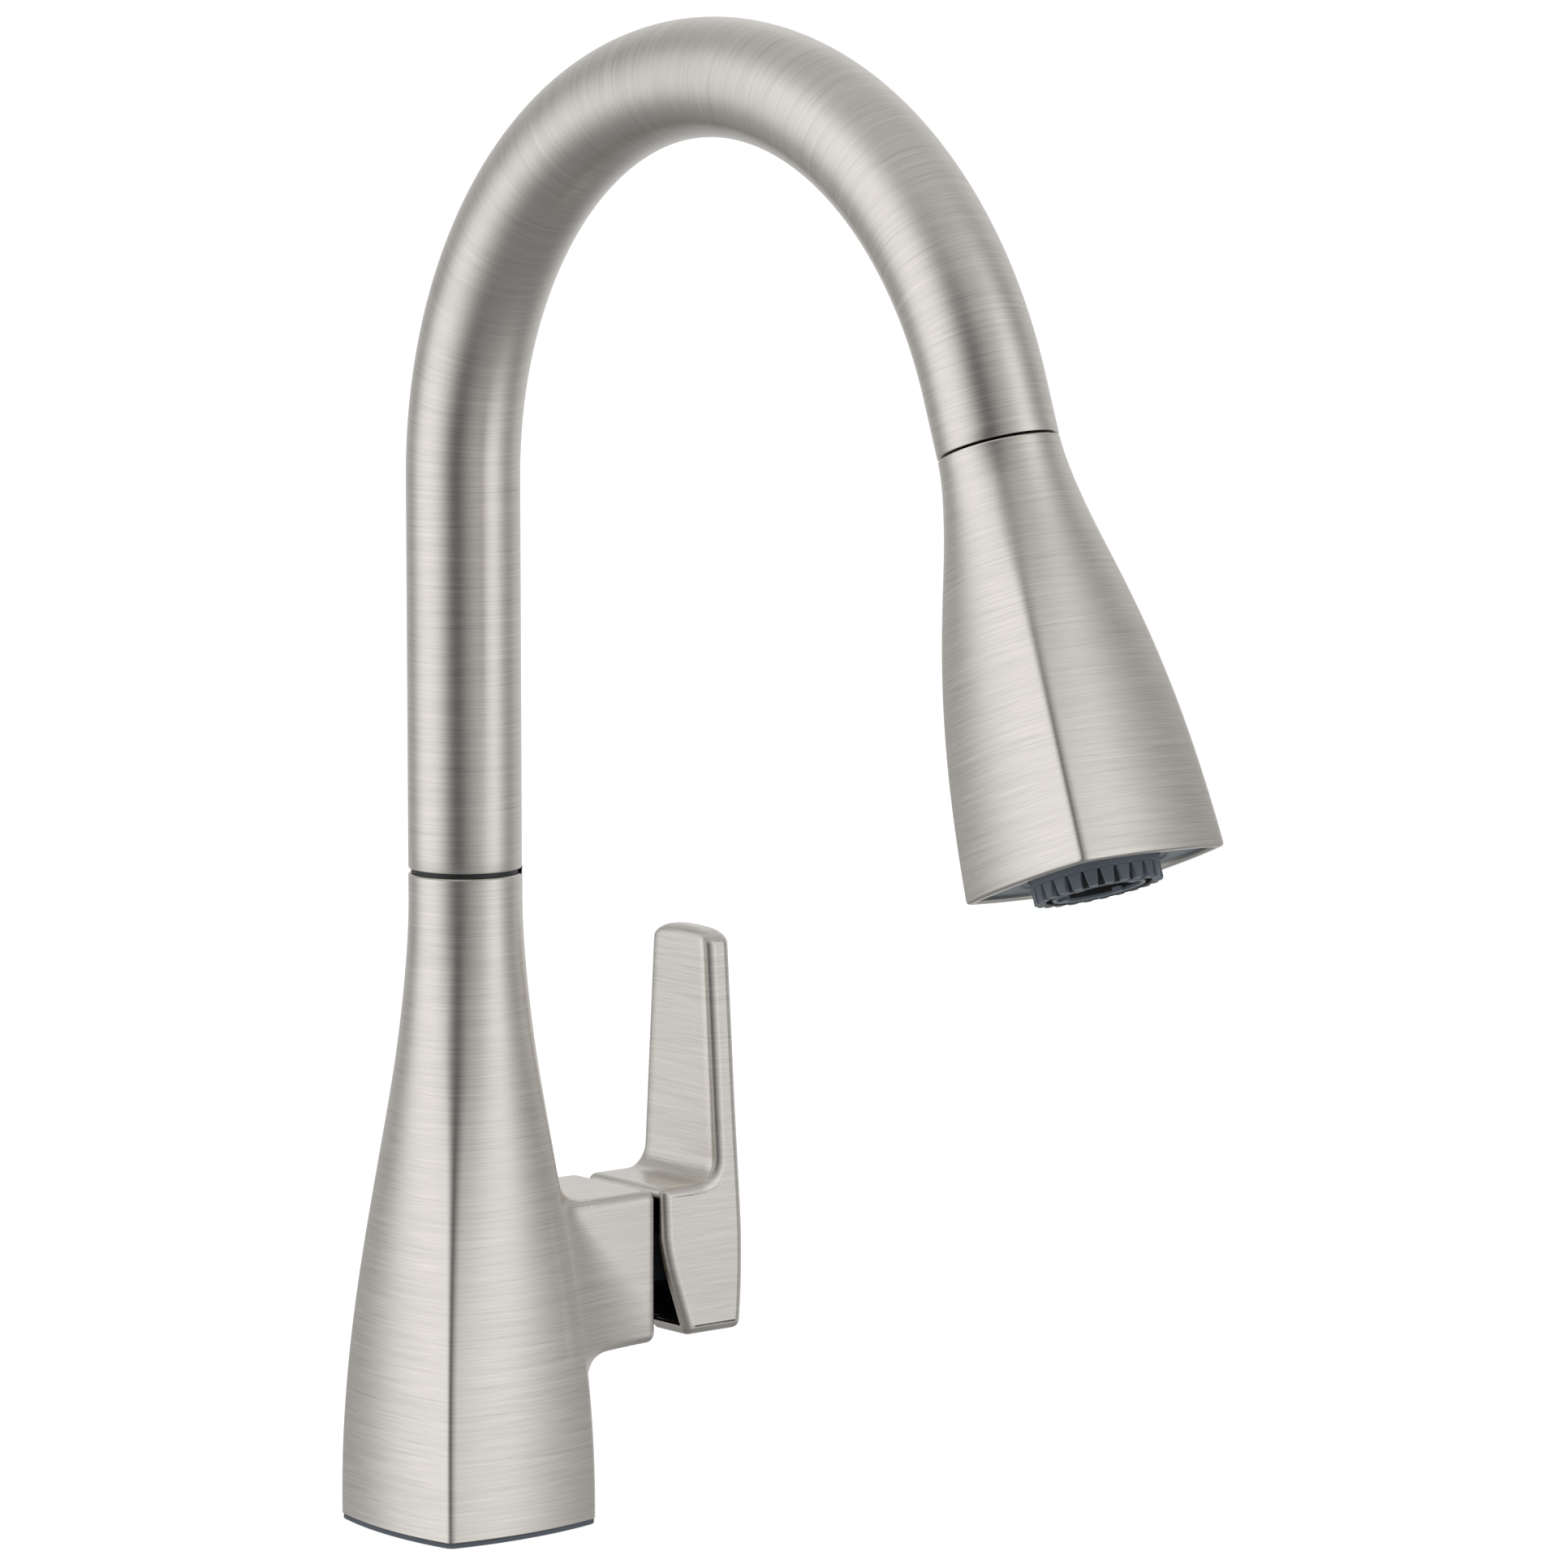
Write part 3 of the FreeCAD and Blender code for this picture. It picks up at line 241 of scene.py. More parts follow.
@dataclass(frozen=True)
class Finish:
    """A finish with a colour, a gloss and a slot name. Subclasses add the detail."""

    name: str
    slot: str
    colour: Colour
    roughness: float
    metallic: float = 0.0

    def material(self) -> bpy.types.Material:
        """The finish's material, made once and then shared.

        Returns:
            The material.
        """
        found = bpy.data.materials.get(self.name)
        if found is None:
            found = bpy.data.materials.new(self.name)
            found.use_nodes = True
            bench = NodeBench(found.node_tree)
            surface = bench.node("ShaderNodeBsdfPrincipled")
            surface.inputs["Metallic"].default_value = self.metallic
            surface.inputs["Roughness"].default_value = self.roughness
            surface.inputs["Base Color"].default_value = self.colour
            self.dress(bench, surface)
            bench.node("ShaderNodeOutputMaterial", inputs={"Surface": surface.outputs[0]})
        return found

    def dress(self, bench: NodeBench, surface: bpy.types.Node) -> None:
        """Add what varies over the surface.

        Args:
            bench: The material's bench.
            surface: Its Principled shader.
        """

    def vary(self, bench: NodeBench, surface: bpy.types.Node, tone: Signal, shades: tuple[float, float],
             gloss: Signal) -> None:
        """Run the colour between two shades of its own, and the gloss with it.

        Args:
            bench: The material's bench.
            surface: Its Principled shader.
            tone: 0 for the first shade, 1 for the second.
            shades: How light the two shades are, against the finish's colour.
            gloss: The roughness.
        """
        colour = bench.blend_colours(tone, self.tinted(shades[0]), self.tinted(shades[1]))
        bench.feed(surface.inputs["Base Color"], colour)
        bench.feed(surface.inputs["Roughness"], gloss)

    @staticmethod
    def emboss(bench: NodeBench, surface: bpy.types.Node, height: Signal, strength: float,
               depth: float) -> None:
        """Add fine relief.

        Args:
            bench: The material's bench.
            surface: Its Principled shader.
            height: The relief, from 0 to 1.
            strength: How much of it shows.
            depth: Its full height in metres.
        """
        relief = bench.node("ShaderNodeBump", inputs={"Strength": strength, "Distance": depth})
        bench.feed(relief.inputs["Height"], height)
        bench.feed(surface.inputs["Normal"], relief.outputs[0])

    def tinted(self, light: float) -> Colour:
        """The finish's colour, lighter or darker by a factor."""
        return tuple(min(1.0, part * light) for part in self.colour[:3]) + (1.0,)


@dataclass(frozen=True)
class BrushedNickel(Finish):
    """Satin nickel whose fine lines run square to the third component of the brush attribute."""

    line_length: float = 19.0 * MM
    line_width: float = 0.30 * MM
    line_contrast: float = 0.74
    bump_height: float = 0.014 * MM

    def dress(self, bench: NodeBench, surface: bpy.types.Node) -> None:
        """Fine brushed lines in colour, gloss and relief over a broad, faint cloudiness.

        Args:
            bench: The material's bench.
            surface: Its Principled shader.
        """
        place = bench.node("ShaderNodeAttribute", {"attribute_name": "brush"}).outputs["Vector"]
        along = 1.0 / self.line_length
        fine = bench.noise(bench.stretched(place, (along, along, 1.0 / self.line_width)), 1.0, 3.0, 0.65)
        coarse = bench.noise(
            bench.stretched(place, (along * 0.45, along * 0.45, 0.28 / self.line_width)), 1.0, 2.0
        )
        cloud = bench.noise(place, 28.0, 2.0)
        line = fine * 0.80 + coarse * 0.20
        shade = (line - 0.5) * (2.0 * self.line_contrast) + (cloud - 0.5) * 0.05
        gloss = (line - 0.5) * 0.16 + (cloud - 0.5) * 0.05 + self.roughness
        self.vary(bench, surface, shade + 0.5, (0.72, 1.28), gloss)
        self.emboss(bench, surface, line, 1.0, self.bump_height)


@dataclass(frozen=True)
class Moulded(Finish):
    """Moulded plastic or rubber with a fine grain and faint flow marks."""

    grain: float = 0.4 * MM
    grain_height: float = 0.02 * MM

    def dress(self, bench: NodeBench, surface: bpy.types.Node) -> None:
        """A fine grain in relief and a slow drift in colour and gloss.

        Args:
            bench: The material's bench.
            surface: Its Principled shader.
        """
        place = bench.node("ShaderNodeTexCoord").outputs["Object"]
        grain = bench.noise(place, 1.0 / self.grain, 2.0)
        flow = bench.noise(bench.stretched(place, (60.0, 60.0, 180.0)), 1.0, 2.0)
        tone = (grain - 0.5) * 0.25 + (flow - 0.5) * 0.5 + 0.5
        self.vary(bench, surface, tone, (0.8, 1.2), (flow - 0.5) * 0.2 + self.roughness)
        self.emboss(bench, surface, grain, 0.6, self.grain_height)


@dataclass(frozen=True)
class Machined(Finish):
    """Bare turned metal: faint tool rings, darker tarnish in clouds and a few bright scuffs."""

    ring_pitch: float = 0.25 * MM
    ring_depth: float = 0.02 * MM

    def dress(self, bench: NodeBench, surface: bpy.types.Node) -> None:
        """Tool marks across Z, tarnish clouds and scuffs.

        Args:
            bench: The material's bench.
            surface: Its Principled shader.
        """
        place = bench.node("ShaderNodeTexCoord").outputs["Object"]
        rings = bench.noise(bench.stretched(place, (40.0, 40.0, 1.0 / self.ring_pitch)), 1.0, 2.0)
        tarnish = bench.noise(place, 90.0, 4.0, 0.6)
        scuff = bench.noise(bench.stretched(place, (900.0, 900.0, 200.0)), 1.0, 1.0)
        tone = (tarnish - 0.5) * 1.1 + (rings - 0.5) * 0.35 + 0.5
        gloss = (0.5 - tarnish) * 0.25 + (scuff - 0.5) * 0.12 + self.roughness
        self.vary(bench, surface, tone, (0.66, 1.2), gloss)
        self.emboss(bench, surface, rings, 0.5, self.ring_depth)


@dataclass(frozen=True)
class Braided(Finish):
    """Nylon braid: two sets of strands that cross on a hose, laid out by the along attribute."""

    strands: float = 12.0
    pitch: float = 14.0 * MM
    strand_depth: float = 0.3 * MM

    def dress(self, bench: NodeBench, surface: bpy.types.Node) -> None:
        """Crossing strands as bands of the angle round the hose and the length along it.

        Args:
            bench: The material's bench.
            surface: Its Principled shader.
        """
        place = bench.node("ShaderNodeAttribute", {"attribute_name": "along"}).outputs["Vector"]
        x, y, length = bench.split(place)
        turn = y.call("ARCTAN2", x) * (self.strands / (2.0 * math.pi))
        advance = length * (self.strands / self.pitch)
        right = ((turn + advance) * (2.0 * math.pi)).call("SINE") * 0.5 + 0.5
        left = ((turn - advance) * (2.0 * math.pi)).call("SINE") * 0.5 + 0.5
        weave = right.call("MAXIMUM", left)
        fleck = bench.noise(bench.stretched(place, (900.0, 900.0, 900.0)), 1.0, 1.0)
        tone = weave * 0.75 + fleck * 0.25
        self.vary(bench, surface, tone, (0.25, 1.5), 0.75 - weave * 0.25)
        self.emboss(bench, surface, weave, 0.9, self.strand_depth)


NICKEL = BrushedNickel("brushed_nickel_satin", "brushed_nickel", (0.765, 0.733, 0.686, 1.0), 0.29, 1.0)
SLATE = Moulded("slate_plastic_moulded", "slate_plastic", (0.105, 0.128, 0.148, 1.0), 0.42)
# A near-black moulded finish whose darkness is painted shade: it lines the lever's hollow.
SHADE_LINER_FINISH = Moulded("casting_painted_shade", "dark_plastic", (0.020, 0.023, 0.030, 1.0), 0.45, grain=0.7 * MM)
BLACK = Moulded("black_plastic_moulded", "dark_plastic", (0.012, 0.013, 0.015, 1.0), 0.38)
GREY_FOAM = Moulded("grey_foam_gasket", "grey_gasket", (0.085, 0.10, 0.125, 1.0), 0.7)
RUBBER = Moulded("black_rubber_matt", "black_rubber", (0.015, 0.015, 0.015, 1.0), 0.62)
VALVE_PLASTIC = Moulded("acetal_plastic", "valve_plastic", (0.66, 0.65, 0.60, 1.0), 0.42)
CERAMIC = Moulded("lapped_alumina", "ceramic", (0.80, 0.79, 0.74, 1.0), 0.12, grain_height=0.002 * MM)
BRASS = Machined("turned_brass", "brass", (0.74, 0.56, 0.28, 1.0), 0.33, 1.0)
NUT_BRASS = Machined("cast_brass_nut", "zinc_nut", (0.68, 0.53, 0.30, 1.0), 0.42, 1.0)
STEEL = Machined("stainless_steel", "bright_steel", (0.62, 0.62, 0.62, 1.0), 0.30, 1.0)
BRAID = Braided("nylon_braid", "hose_braid", (0.16, 0.165, 0.175, 1.0), 0.6)

CAD_FINISHES: dict[str, Finish] = {
    "waterway_core": BRASS, "cartridge_housing": VALVE_PLASTIC, "fixed_ceramic_disc": CERAMIC,
    "cartridge_seals": RUBBER, "moving_ceramic_disc": CERAMIC, "disc_carrier": VALVE_PLASTIC,
    "cartridge_rotor": VALVE_PLASTIC, "stem_pivot_pin": STEEL, "cartridge_retaining_nut": BRASS,
    "cartridge_stem": BRASS, "lever_set_screw": STEEL, "swivel_hub": BRASS, "swivel_seals": RUBBER,
    "swivel_snap_ring": STEEL, "hose_end_ferrule": BRASS, "dock_seal": RUBBER, "inlet_screen": STEEL,
    "wand_duct": VALVE_PLASTIC, "check_valve": VALVE_PLASTIC, "spray_chamber": VALVE_PLASTIC,
    "diverter_plunger": BLACK, "hose_tail_coupling": BRASS, "deck_rubber_washer": RUBBER,
    "deck_steel_washer": STEEL, "docking_stem": BLACK, "spray_face": BLACK, "aerator_screen": STEEL,
    "aerator_insert": BLACK, "dock_collar": BLACK, "swivel_washer": BLACK,
}


# --------------------------------------------------------------------------- meshes


Point = tuple[float, float, float]


class MeshPiece:
    """Collects the vertices, faces and attributes of one piece."""

    def __init__(self, name: str) -> None:
        """Start empty.

        Args:
            name: The piece's name.
        """
        self.name = name
        self.points: list[Point] = []
        self.faces: list[tuple[int, ...]] = []
        self.brush: list[Point] = []

    def add_grid(self, rows: Sequence[Sequence[Point]], brush: Sequence[Sequence[Point]] | None = None,
                 around: bool = True) -> None:
        """Add a sheet of quads.

        Args:
            rows: Rows of points, all of one length. Faces point outwards where each row runs
                anticlockwise seen from the side of the later rows.
            brush: The brush coordinates of each point, or None for its own place.
            around: Whether each row closes on itself.
        """
        first = len(self.points)
        width = len(rows[0])
        for index, row in enumerate(rows):
            self.points.extend(tuple(point) for point in row)
            self.brush.extend(tuple(point) for point in (brush[index] if brush else row))
        columns = width if around else width - 1
        for j in range(len(rows) - 1):
            for i in range(columns):
                a = first + j * width + i
                b = first + j * width + (i + 1) % width
                self.faces.append((a, b, b + width, a + width))

    def add_fan(self, ring: Sequence[Point], centre: Point) -> None:
        """Close a ring with triangles to its centre, facing the side it looks anticlockwise from.

        Args:
            ring: The points.
            centre: The fan's middle.
        """
        first = len(self.points)
        self.points.extend(tuple(point) for point in ring)
        self.points.append(tuple(centre))
        self.brush.extend(self.points[first:])
        count = len(ring)
        for i in range(count):
            self.faces.append((first + i, first + (i + 1) % count, first + count))

    def object(self, finish: Finish, weld: float = 1e-7, crease_degrees: float = 38.0) -> bpy.types.Object:
        """Make the object with its finish, smooth shading and brush attribute.

        Args:
            finish: The finish whose material and slot it takes.
            weld: Points closer than this become one, in metres.
            crease_degrees: Edges that turn by more than this stay sharp.

        Returns:
            The object, linked to the scene.
        """
        mesh = bpy.data.meshes.new(self.name)
        mesh.from_pydata(self.points, [], self.faces)
        values = np.array(self.brush, dtype=np.float32)
        layer = mesh.attributes.new("brush", "FLOAT_VECTOR", "POINT")
        layer.data.foreach_set("vector", values.ravel())
        shape = bmesh.new()
        shape.from_mesh(mesh)
        bmesh.ops.remove_doubles(shape, verts=shape.verts, dist=weld)
        shape.to_mesh(mesh)
        shape.free()
        made = bpy.data.objects.new(self.name, mesh)
        bpy.context.scene.collection.objects.link(made)
        dress(made, finish, crease_degrees)
        return made


def dress(piece: bpy.types.Object, finish: Finish, crease_degrees: float = 38.0) -> None:
    """Give a piece one finish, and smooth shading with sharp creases.

    Args:
        piece: The mesh object.
        finish: The finish.
        crease_degrees: Edges that turn by more than this stay sharp.
    """
    piece.data.materials.clear()
    piece.data.materials.append(finish.material())
    piece.data.shade_smooth()
    piece.data.set_sharp_from_angle(angle=math.radians(crease_degrees))


def seat(piece: bpy.types.Object, body: str, *nodes: str) -> None:
    """Let a piece ride on a body in place of CAD nodes.

    Args:
        piece: The piece.
        body: The body's name.
        nodes: The CAD nodes that it replaces.
    """
    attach(piece, body)
    if nodes:
        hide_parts(*nodes)


def turned(axis_turn: Matrix, piece: bpy.types.Object) -> bpy.types.Object:
    """Move a piece's vertices by a matrix, and leave its object at the origin."""
    piece.data.transform(axis_turn)
    return piece


def even_angles(count: int) -> list[float]:
    """Angles that divide a full turn evenly, in radians."""
    return [2.0 * math.pi * i / count for i in range(count)]


def circle(angles: Sequence[float], radius: float, height: float) -> list[Point]:
    """A circle of points at given angles and a height."""
    return [(radius * math.cos(a), radius * math.sin(a), height) for a in angles]


def in_metres(rows: Iterable[Sequence[Point]]) -> list[list[Point]]:
    """Rows of points in millimetres, turned into metres."""
    return [[tuple(MM * v for v in point) for point in row] for row in rows]


def rounded_profile(corners: Sequence[Point], steps: int = 5) -> list[tuple[float, float]]:
    """A closed or open profile with its corners rounded.

    Args:
        corners: (radius, height, corner radius) in order.
        steps: Points per rounded corner.

    Returns:
        (radius, height) pairs.
    """
    out: list[tuple[float, float]] = []
    last = len(corners) - 1
    for index, (x, z, bend) in enumerate(corners):
        if bend <= 0.0 or index in (0, last):
            out.append((x, z))
            continue
        here = Vector((x, z))
        back = (Vector(corners[index - 1][:2]) - here).normalized()
        ahead = (Vector(corners[index + 1][:2]) - here).normalized()
        half = 0.5 * back.angle(ahead)
        reach = bend / math.tan(half)
        start, stop = here + back * reach, here + ahead * reach
        for step in range(steps + 1):
            t = step / steps
            mixed = start * (1 - t) ** 2 + here * 2 * t * (1 - t) + stop * t ** 2
            out.append((mixed.x, mixed.y))
    return out


def lathe(name: str, finish: Finish, corners: Sequence[tuple[float, float, float]], count: int = 96,
          steps: int = 5) -> bpy.types.Object:
    """Turn a closed profile about Z.

    Args:
        name: The piece's name.
        finish: Its finish.
        corners: (radius, height, corner radius) in millimetres, anticlockwise in the r-z plane, so
            that the outside runs upwards. The last joins the first.
        count: Steps around.
        steps: Points per rounded corner.

    Returns:
        The piece, whose faces point outwards.
    """
    metres = [(r * MM, z * MM, bend * MM) for r, z, bend in corners]
    closed = metres + [metres[0]]
    angles = even_angles(count)
    piece = MeshPiece(name)
    piece.add_grid([circle(angles, radius, height) for radius, height in rounded_profile(closed, steps)])
    return piece.object(finish)


def bake(piece: bpy.types.Object, tree: bpy.types.NodeTree, inputs: dict[str, object]) -> bpy.types.Object:
    """Run a geometry tree on a piece and keep the result as its plain mesh.

    Args:
        piece: The object the modifier goes on.
        tree: The geometry tree.
        inputs: Values by the name of the tree's input sockets.

    Returns:
        The same object with the baked mesh and no modifier.
    """
    modifier = piece.modifiers.new("build", "NODES")
    modifier.node_group = tree
    for item in tree.interface.items_tree:
        if item.item_type == "SOCKET" and item.in_out == "INPUT" and item.name in inputs:
            modifier[item.identifier] = inputs[item.name]
    bpy.context.view_layer.update()
    evaluated = piece.evaluated_get(bpy.context.evaluated_depsgraph_get())
    baked = bpy.data.meshes.new_from_object(evaluated)
    piece.modifiers.remove(modifier)
    piece.data = baked
    return piece


class Repeater:
    """A geometry tree that repeats its input mesh on a ring about Z, with some pitch and spin."""

    def __init__(self, name: str, finish: Finish) -> None:
        """Make the tree once.

        Args:
            name: The tree's name.
            finish: The finish its Set Material node gives.
        """
        self.tree = bpy.data.node_groups.new(name, "GeometryNodeTree")
        face = self.tree.interface
        face.new_socket("Geometry", in_out="INPUT", socket_type="NodeSocketGeometry")
        face.new_socket("Count", in_out="INPUT", socket_type="NodeSocketInt")
        face.new_socket("First Turn", in_out="INPUT", socket_type="NodeSocketFloat")
        face.new_socket("Geometry", in_out="OUTPUT", socket_type="NodeSocketGeometry")
        bench = NodeBench(self.tree)
        entry = bench.node("NodeGroupInput")
        line = bench.node("GeometryNodeMeshLine", inputs={
            "Count": entry.outputs["Count"], "Offset": (0.0, 0.0, 0.0), "Start Location": (0.0, 0.0, 0.0),
        })
        index = bench.signal("GeometryNodeInputIndex", 0)
        count = Signal(bench, entry.outputs["Count"])
        first = Signal(bench, entry.outputs["First Turn"])
        turn = index * (2.0 * math.pi) / count + first
        put = bench.node("GeometryNodeInstanceOnPoints", inputs={
            "Points": line.outputs[0], "Instance": entry.outputs["Geometry"],
            "Rotation": bench.join(0.0, 0.0, turn),
        })
        whole = bench.node("GeometryNodeRealizeInstances", inputs={0: put.outputs[0]})
        finished = bench.node("GeometryNodeSetMaterial", inputs={
            "Geometry": whole.outputs[0], "Material": finish.material(),
        })
        bench.node("NodeGroupOutput", inputs={0: finished.outputs[0]})

    def around(self, piece: bpy.types.Object, count: int, first_turn: float = 0.0) -> bpy.types.Object:
        """Repeat a piece.

        Args:
            piece: The mesh object to repeat, which is changed.
            count: How many.
            first_turn: The first one's turn about Z in radians.

        Returns:
            The piece with all copies in one mesh.
        """
        return bake(piece, self.tree, {"Count": count, "First Turn": first_turn})


def joined(name: str, pieces: Iterable[bpy.types.Object], finish: Finish,
           crease_degrees: float = 38.0) -> bpy.types.Object:
    """Join several mesh objects with one finish into one.

    Args:
        name: The result's name.
        pieces: The objects, which are removed.
        finish: The finish of the whole.
        crease_degrees: Edges that turn by more than this stay sharp.

    Returns:
        The joined object.
    """
    shape = bmesh.new()
    for piece in pieces:
        shape.from_mesh(piece.data)
        bpy.data.objects.remove(piece)
    mesh = bpy.data.meshes.new(name)
    shape.to_mesh(mesh)
    shape.free()
    made = bpy.data.objects.new(name, mesh)
    bpy.context.scene.collection.objects.link(made)
    dress(made, finish, crease_degrees)
    return made


# --------------------------------------------------------------------------- square sections


@dataclass(frozen=True)
class BulgedSquare:
    """A square section whose sides bow outwards, in millimetres."""

    half: float
    bulge: float

    def radius(self) -> float:
        """The radius of a side's arc."""
        return (self.half ** 2 + self.bulge ** 2) / (2.0 * self.bulge)

    def ray(self, angle: float) -> float:
        """How far the outline is from the centre in a direction, by its angle in radians.

        Args:
            angle: The direction.

        Returns:
            The distance in millimetres.
        """
        quarter = 0.5 * math.pi
        local = (angle + 0.5 * quarter) % quarter - 0.5 * quarter
        near, far = self._arc(local), self._arc(abs(local) - quarter)
        soft = self.softness()
        close = max(soft - abs(near - far), 0.0) / soft
        return min(near, far) - close * close * soft * 0.25

    def softness(self) -> float:
        """How wide the rounding of the corners is. It fades out as the section turns round."""
        crease = math.degrees(0.5 * math.pi - 2.0 * math.asin(self.half / self.radius()))
        return EDGE_SOFTNESS * smooth_step(crease / 28.0) + 1e-6

    def _arc(self, local: float) -> float:
        """How far one side's circle is from the centre, by the angle from the side's middle.

        Args:
            local: The angle in radians.

        Returns:
            The distance in millimetres.
        """
        bend = self.radius()
        middle = self.half + self.bulge - bend
        across = middle * math.sin(local)
        return middle * math.cos(local) + math.sqrt(bend * bend - across * across)


def flare_angles(per_side: int, crowd: float = 0.96) -> list[float]:
    """Angles around a square section, which crowd towards its corners and land on them.

    Args:
        per_side: Angles on each side.
        crowd: 0 for even steps, 1 for the most crowding.

    Returns:
        The angles in radians, anticlockwise from the +X -Y corner.
    """
    out = []
    for side in range(4):
        for step in range(per_side):
            t = 2.0 * step / per_side - 1.0
            bent = (1.0 - crowd) * t + crowd * math.sin(0.5 * math.pi * t)
            out.append(0.5 * math.pi * side + 0.25 * math.pi * bent)
    return out


def smooth_step(t: float) -> float:
    """Cubic ease from 0 to 1."""
    t = min(1.0, max(0.0, t))
    return t * t * (3.0 - 2.0 * t)


# --------------------------------------------------------------------------- base


def even_steps(curve: Callable[[np.ndarray], np.ndarray], low: float, high: float, count: int,
               bend_weight: float) -> np.ndarray:
    """Parameters that step evenly along a curve, and closer where it bends.

    Args:
        curve: Gives points, one row each, for an array of parameters.
        low: First parameter.
        high: Last parameter.
        count: Number of steps.
        bend_weight: Length that a turn of one radian counts for.

    Returns:
        count + 1 parameters.
    """
    fine = np.linspace(low, high, 4001)
    steps = np.diff(curve(fine), axis=0)
    length = np.linalg.norm(steps, axis=1)
    heading = steps / np.maximum(length, 1e-9)[:, None]
    turn = np.linalg.norm(np.diff(heading, axis=0, prepend=heading[:1]), axis=1)
    total = np.concatenate([[0.0], np.cumsum(length + bend_weight * turn)])
    return np.interp(np.linspace(0.0, total[-1], count + 1), total, fine)


@dataclass(frozen=True)
class BodyShell:
    """The flared square body with the valve boss on its +X side. Sizes in millimetres."""

    bottom: float = 1.2
    top: float = 166.6
    neck: BulgedSquare = BulgedSquare(10.112, 4.188)
    foot: BulgedSquare = BulgedSquare(23.2, 2.9)
    flare_top: float = 160.0
    flare_height: float = 155.0
    flare_skew: float = 0.88
    wall: float = 2.5
    neck_bore: float = 12.4
    cavity_top: float = 118.0
    valve_height: float = 62.2
    boss_end: float = 48.0
    boss_half_width: float = 17.0
    boss_half_height: float = 19.7
    boss_round: float = 2.6
    boss_bore: float = 14.0
    bore_depth: float = 12.0
    floor_bore: float = 11.5
    under_blend: float = 8.5
    top_blend: float = 7.0
    seam_blend: float = 0.3
    valve_side: float = 0.25 * math.pi
    least_step: float = 0.15
    sink_start: float = 6.0
    sink_slope: float = 0.25
    boss_start: float = 2.0
    shortest_ray: float = 0.8
    longest_ray: float = 6.0
    halvings: int = 40
    boss_columns: int = 128
    side_columns: int = 44
    row_count: int = 210
    bend_weight: float = 5.0
    core: Point = (12.0, 0.0, 62.2)
    lip: float = 0.35

    def section(self, height: float) -> BulgedSquare:
        """The outside section at a height.

        Args:
            height: The height. At and above the flare's top the section is the neck's.

        Returns:
            The section.
        """
        if height >= self.flare_top:
            return self.neck
        share = ((self.flare_top - max(0.0, height)) / self.flare_height) ** self.flare_skew
        grow = 0.5 * (1.0 - math.cos(math.pi * share))
        half = self.neck.half + (self.foot.half - self.neck.half) * grow
        return BulgedSquare(half, self.neck.bulge + (self.foot.bulge - self.neck.bulge) * grow)

    def table(self, heights: np.ndarray) -> tuple[np.ndarray, ...]:
        """The section's half side, bulge, corner slope and edge softness at many heights.

        Args:
            heights: The heights.

        Returns:
            Four arrays, as long as the heights.
        """
        grid = np.linspace(0.0, self.flare_top, 321)
        sections = [self.section(height) for height in grid]
        columns = (
            [section.half for section in sections], [section.bulge for section in sections],
            [section.half / section.radius() for section in sections],
            [section.softness() for section in sections],
        )
        return tuple(np.interp(heights, grid, column) for column in columns)

    def signed(self, points: np.ndarray) -> tuple[np.ndarray, np.ndarray]:
        """Roughly how far points are outside the shape.

        Args:
            points: One point per row.

        Returns:
            Distances from the body with its boss, and from the body alone, negative inside.
        """
        x, y, z = points.T
        half, bulge, slope, soft = self.table(z)
        bend = (half ** 2 + bulge ** 2) / (2.0 * bulge)
        offset = bend - half - bulge
        side = np.hypot(x + offset, y) - bend
        front = np.hypot(x, np.abs(y) + offset) - bend
        body = -self._smooth_min(-side, -front, soft)
        rise = slope / np.sqrt(1.0 - slope * slope)
        step = np.maximum(half - self.boss_half_width, self.least_step)
        run = 2.0 * step / rise
        ahead = np.maximum(half + run - x, 0.0)
        width = self.boss_half_width + ahead * ahead * rise / (2.0 * run)
        arc = np.sqrt(np.maximum(bend * bend - x * x, 1.0)) - offset
        sunk = self.sink_slope * np.maximum(half - self.sink_start - x, 0.0)
        width = np.where(x < half, arc - sunk, width)
        slab = np.abs(z - self.valve_height) - self.boss_half_height
        blend = np.where(z > self.valve_height, self.top_blend, self.under_blend)
        slab = self._smooth_min(body, slab, blend)
        walls = np.stack([x - self.boss_end, np.abs(y) - width, slab], axis=1) + self.boss_round
        outside = np.linalg.norm(np.maximum(walls, 0.0), axis=1)
        boss = outside + np.minimum(walls.max(axis=1), 0.0) - self.boss_round
        return self._smooth_min(body, boss, self.seam_blend), body

    @staticmethod
    def _smooth_min(first: np.ndarray, second: np.ndarray, reach: float | np.ndarray) -> np.ndarray:
        """The lesser of two distances, rounded over a reach.

        Args:
            first: One distance per point.
            second: Another.
            reach: How near each other the two have to be for the rounding to start.

        Returns:
            The blended distances.
        """
        close = np.maximum(reach - np.abs(first - second), 0.0) / reach
        return np.minimum(first, second) - close * close * reach * 0.25

    def pushed(self, points: np.ndarray) -> np.ndarray:
        """Move points of the plain body along rays from the core to the surface with its boss.

        Args:
            points: One point per row, on the plain body.

        Returns:
            The moved points, in the same order.
        """
        core = np.array(self.core)
        rays = points - core
        low = np.full(len(points), self.shortest_ray)
        high = np.full(len(points), self.longest_ray)
        for _ in range(self.halvings):
            middle = 0.5 * (low + high)
            inside = self.signed(core + rays * middle[:, None])[0] < 0.0
            low = np.where(inside, middle, low)
            high = np.where(inside, high, middle)
        whole, alone = self.signed(points)
        touched = (alone - whole > 1e-4) & (points[:, 0] > self.boss_start)
        reach = np.where(touched, 0.5 * (low + high), 1.0)
        return core + rays * reach[:, None]

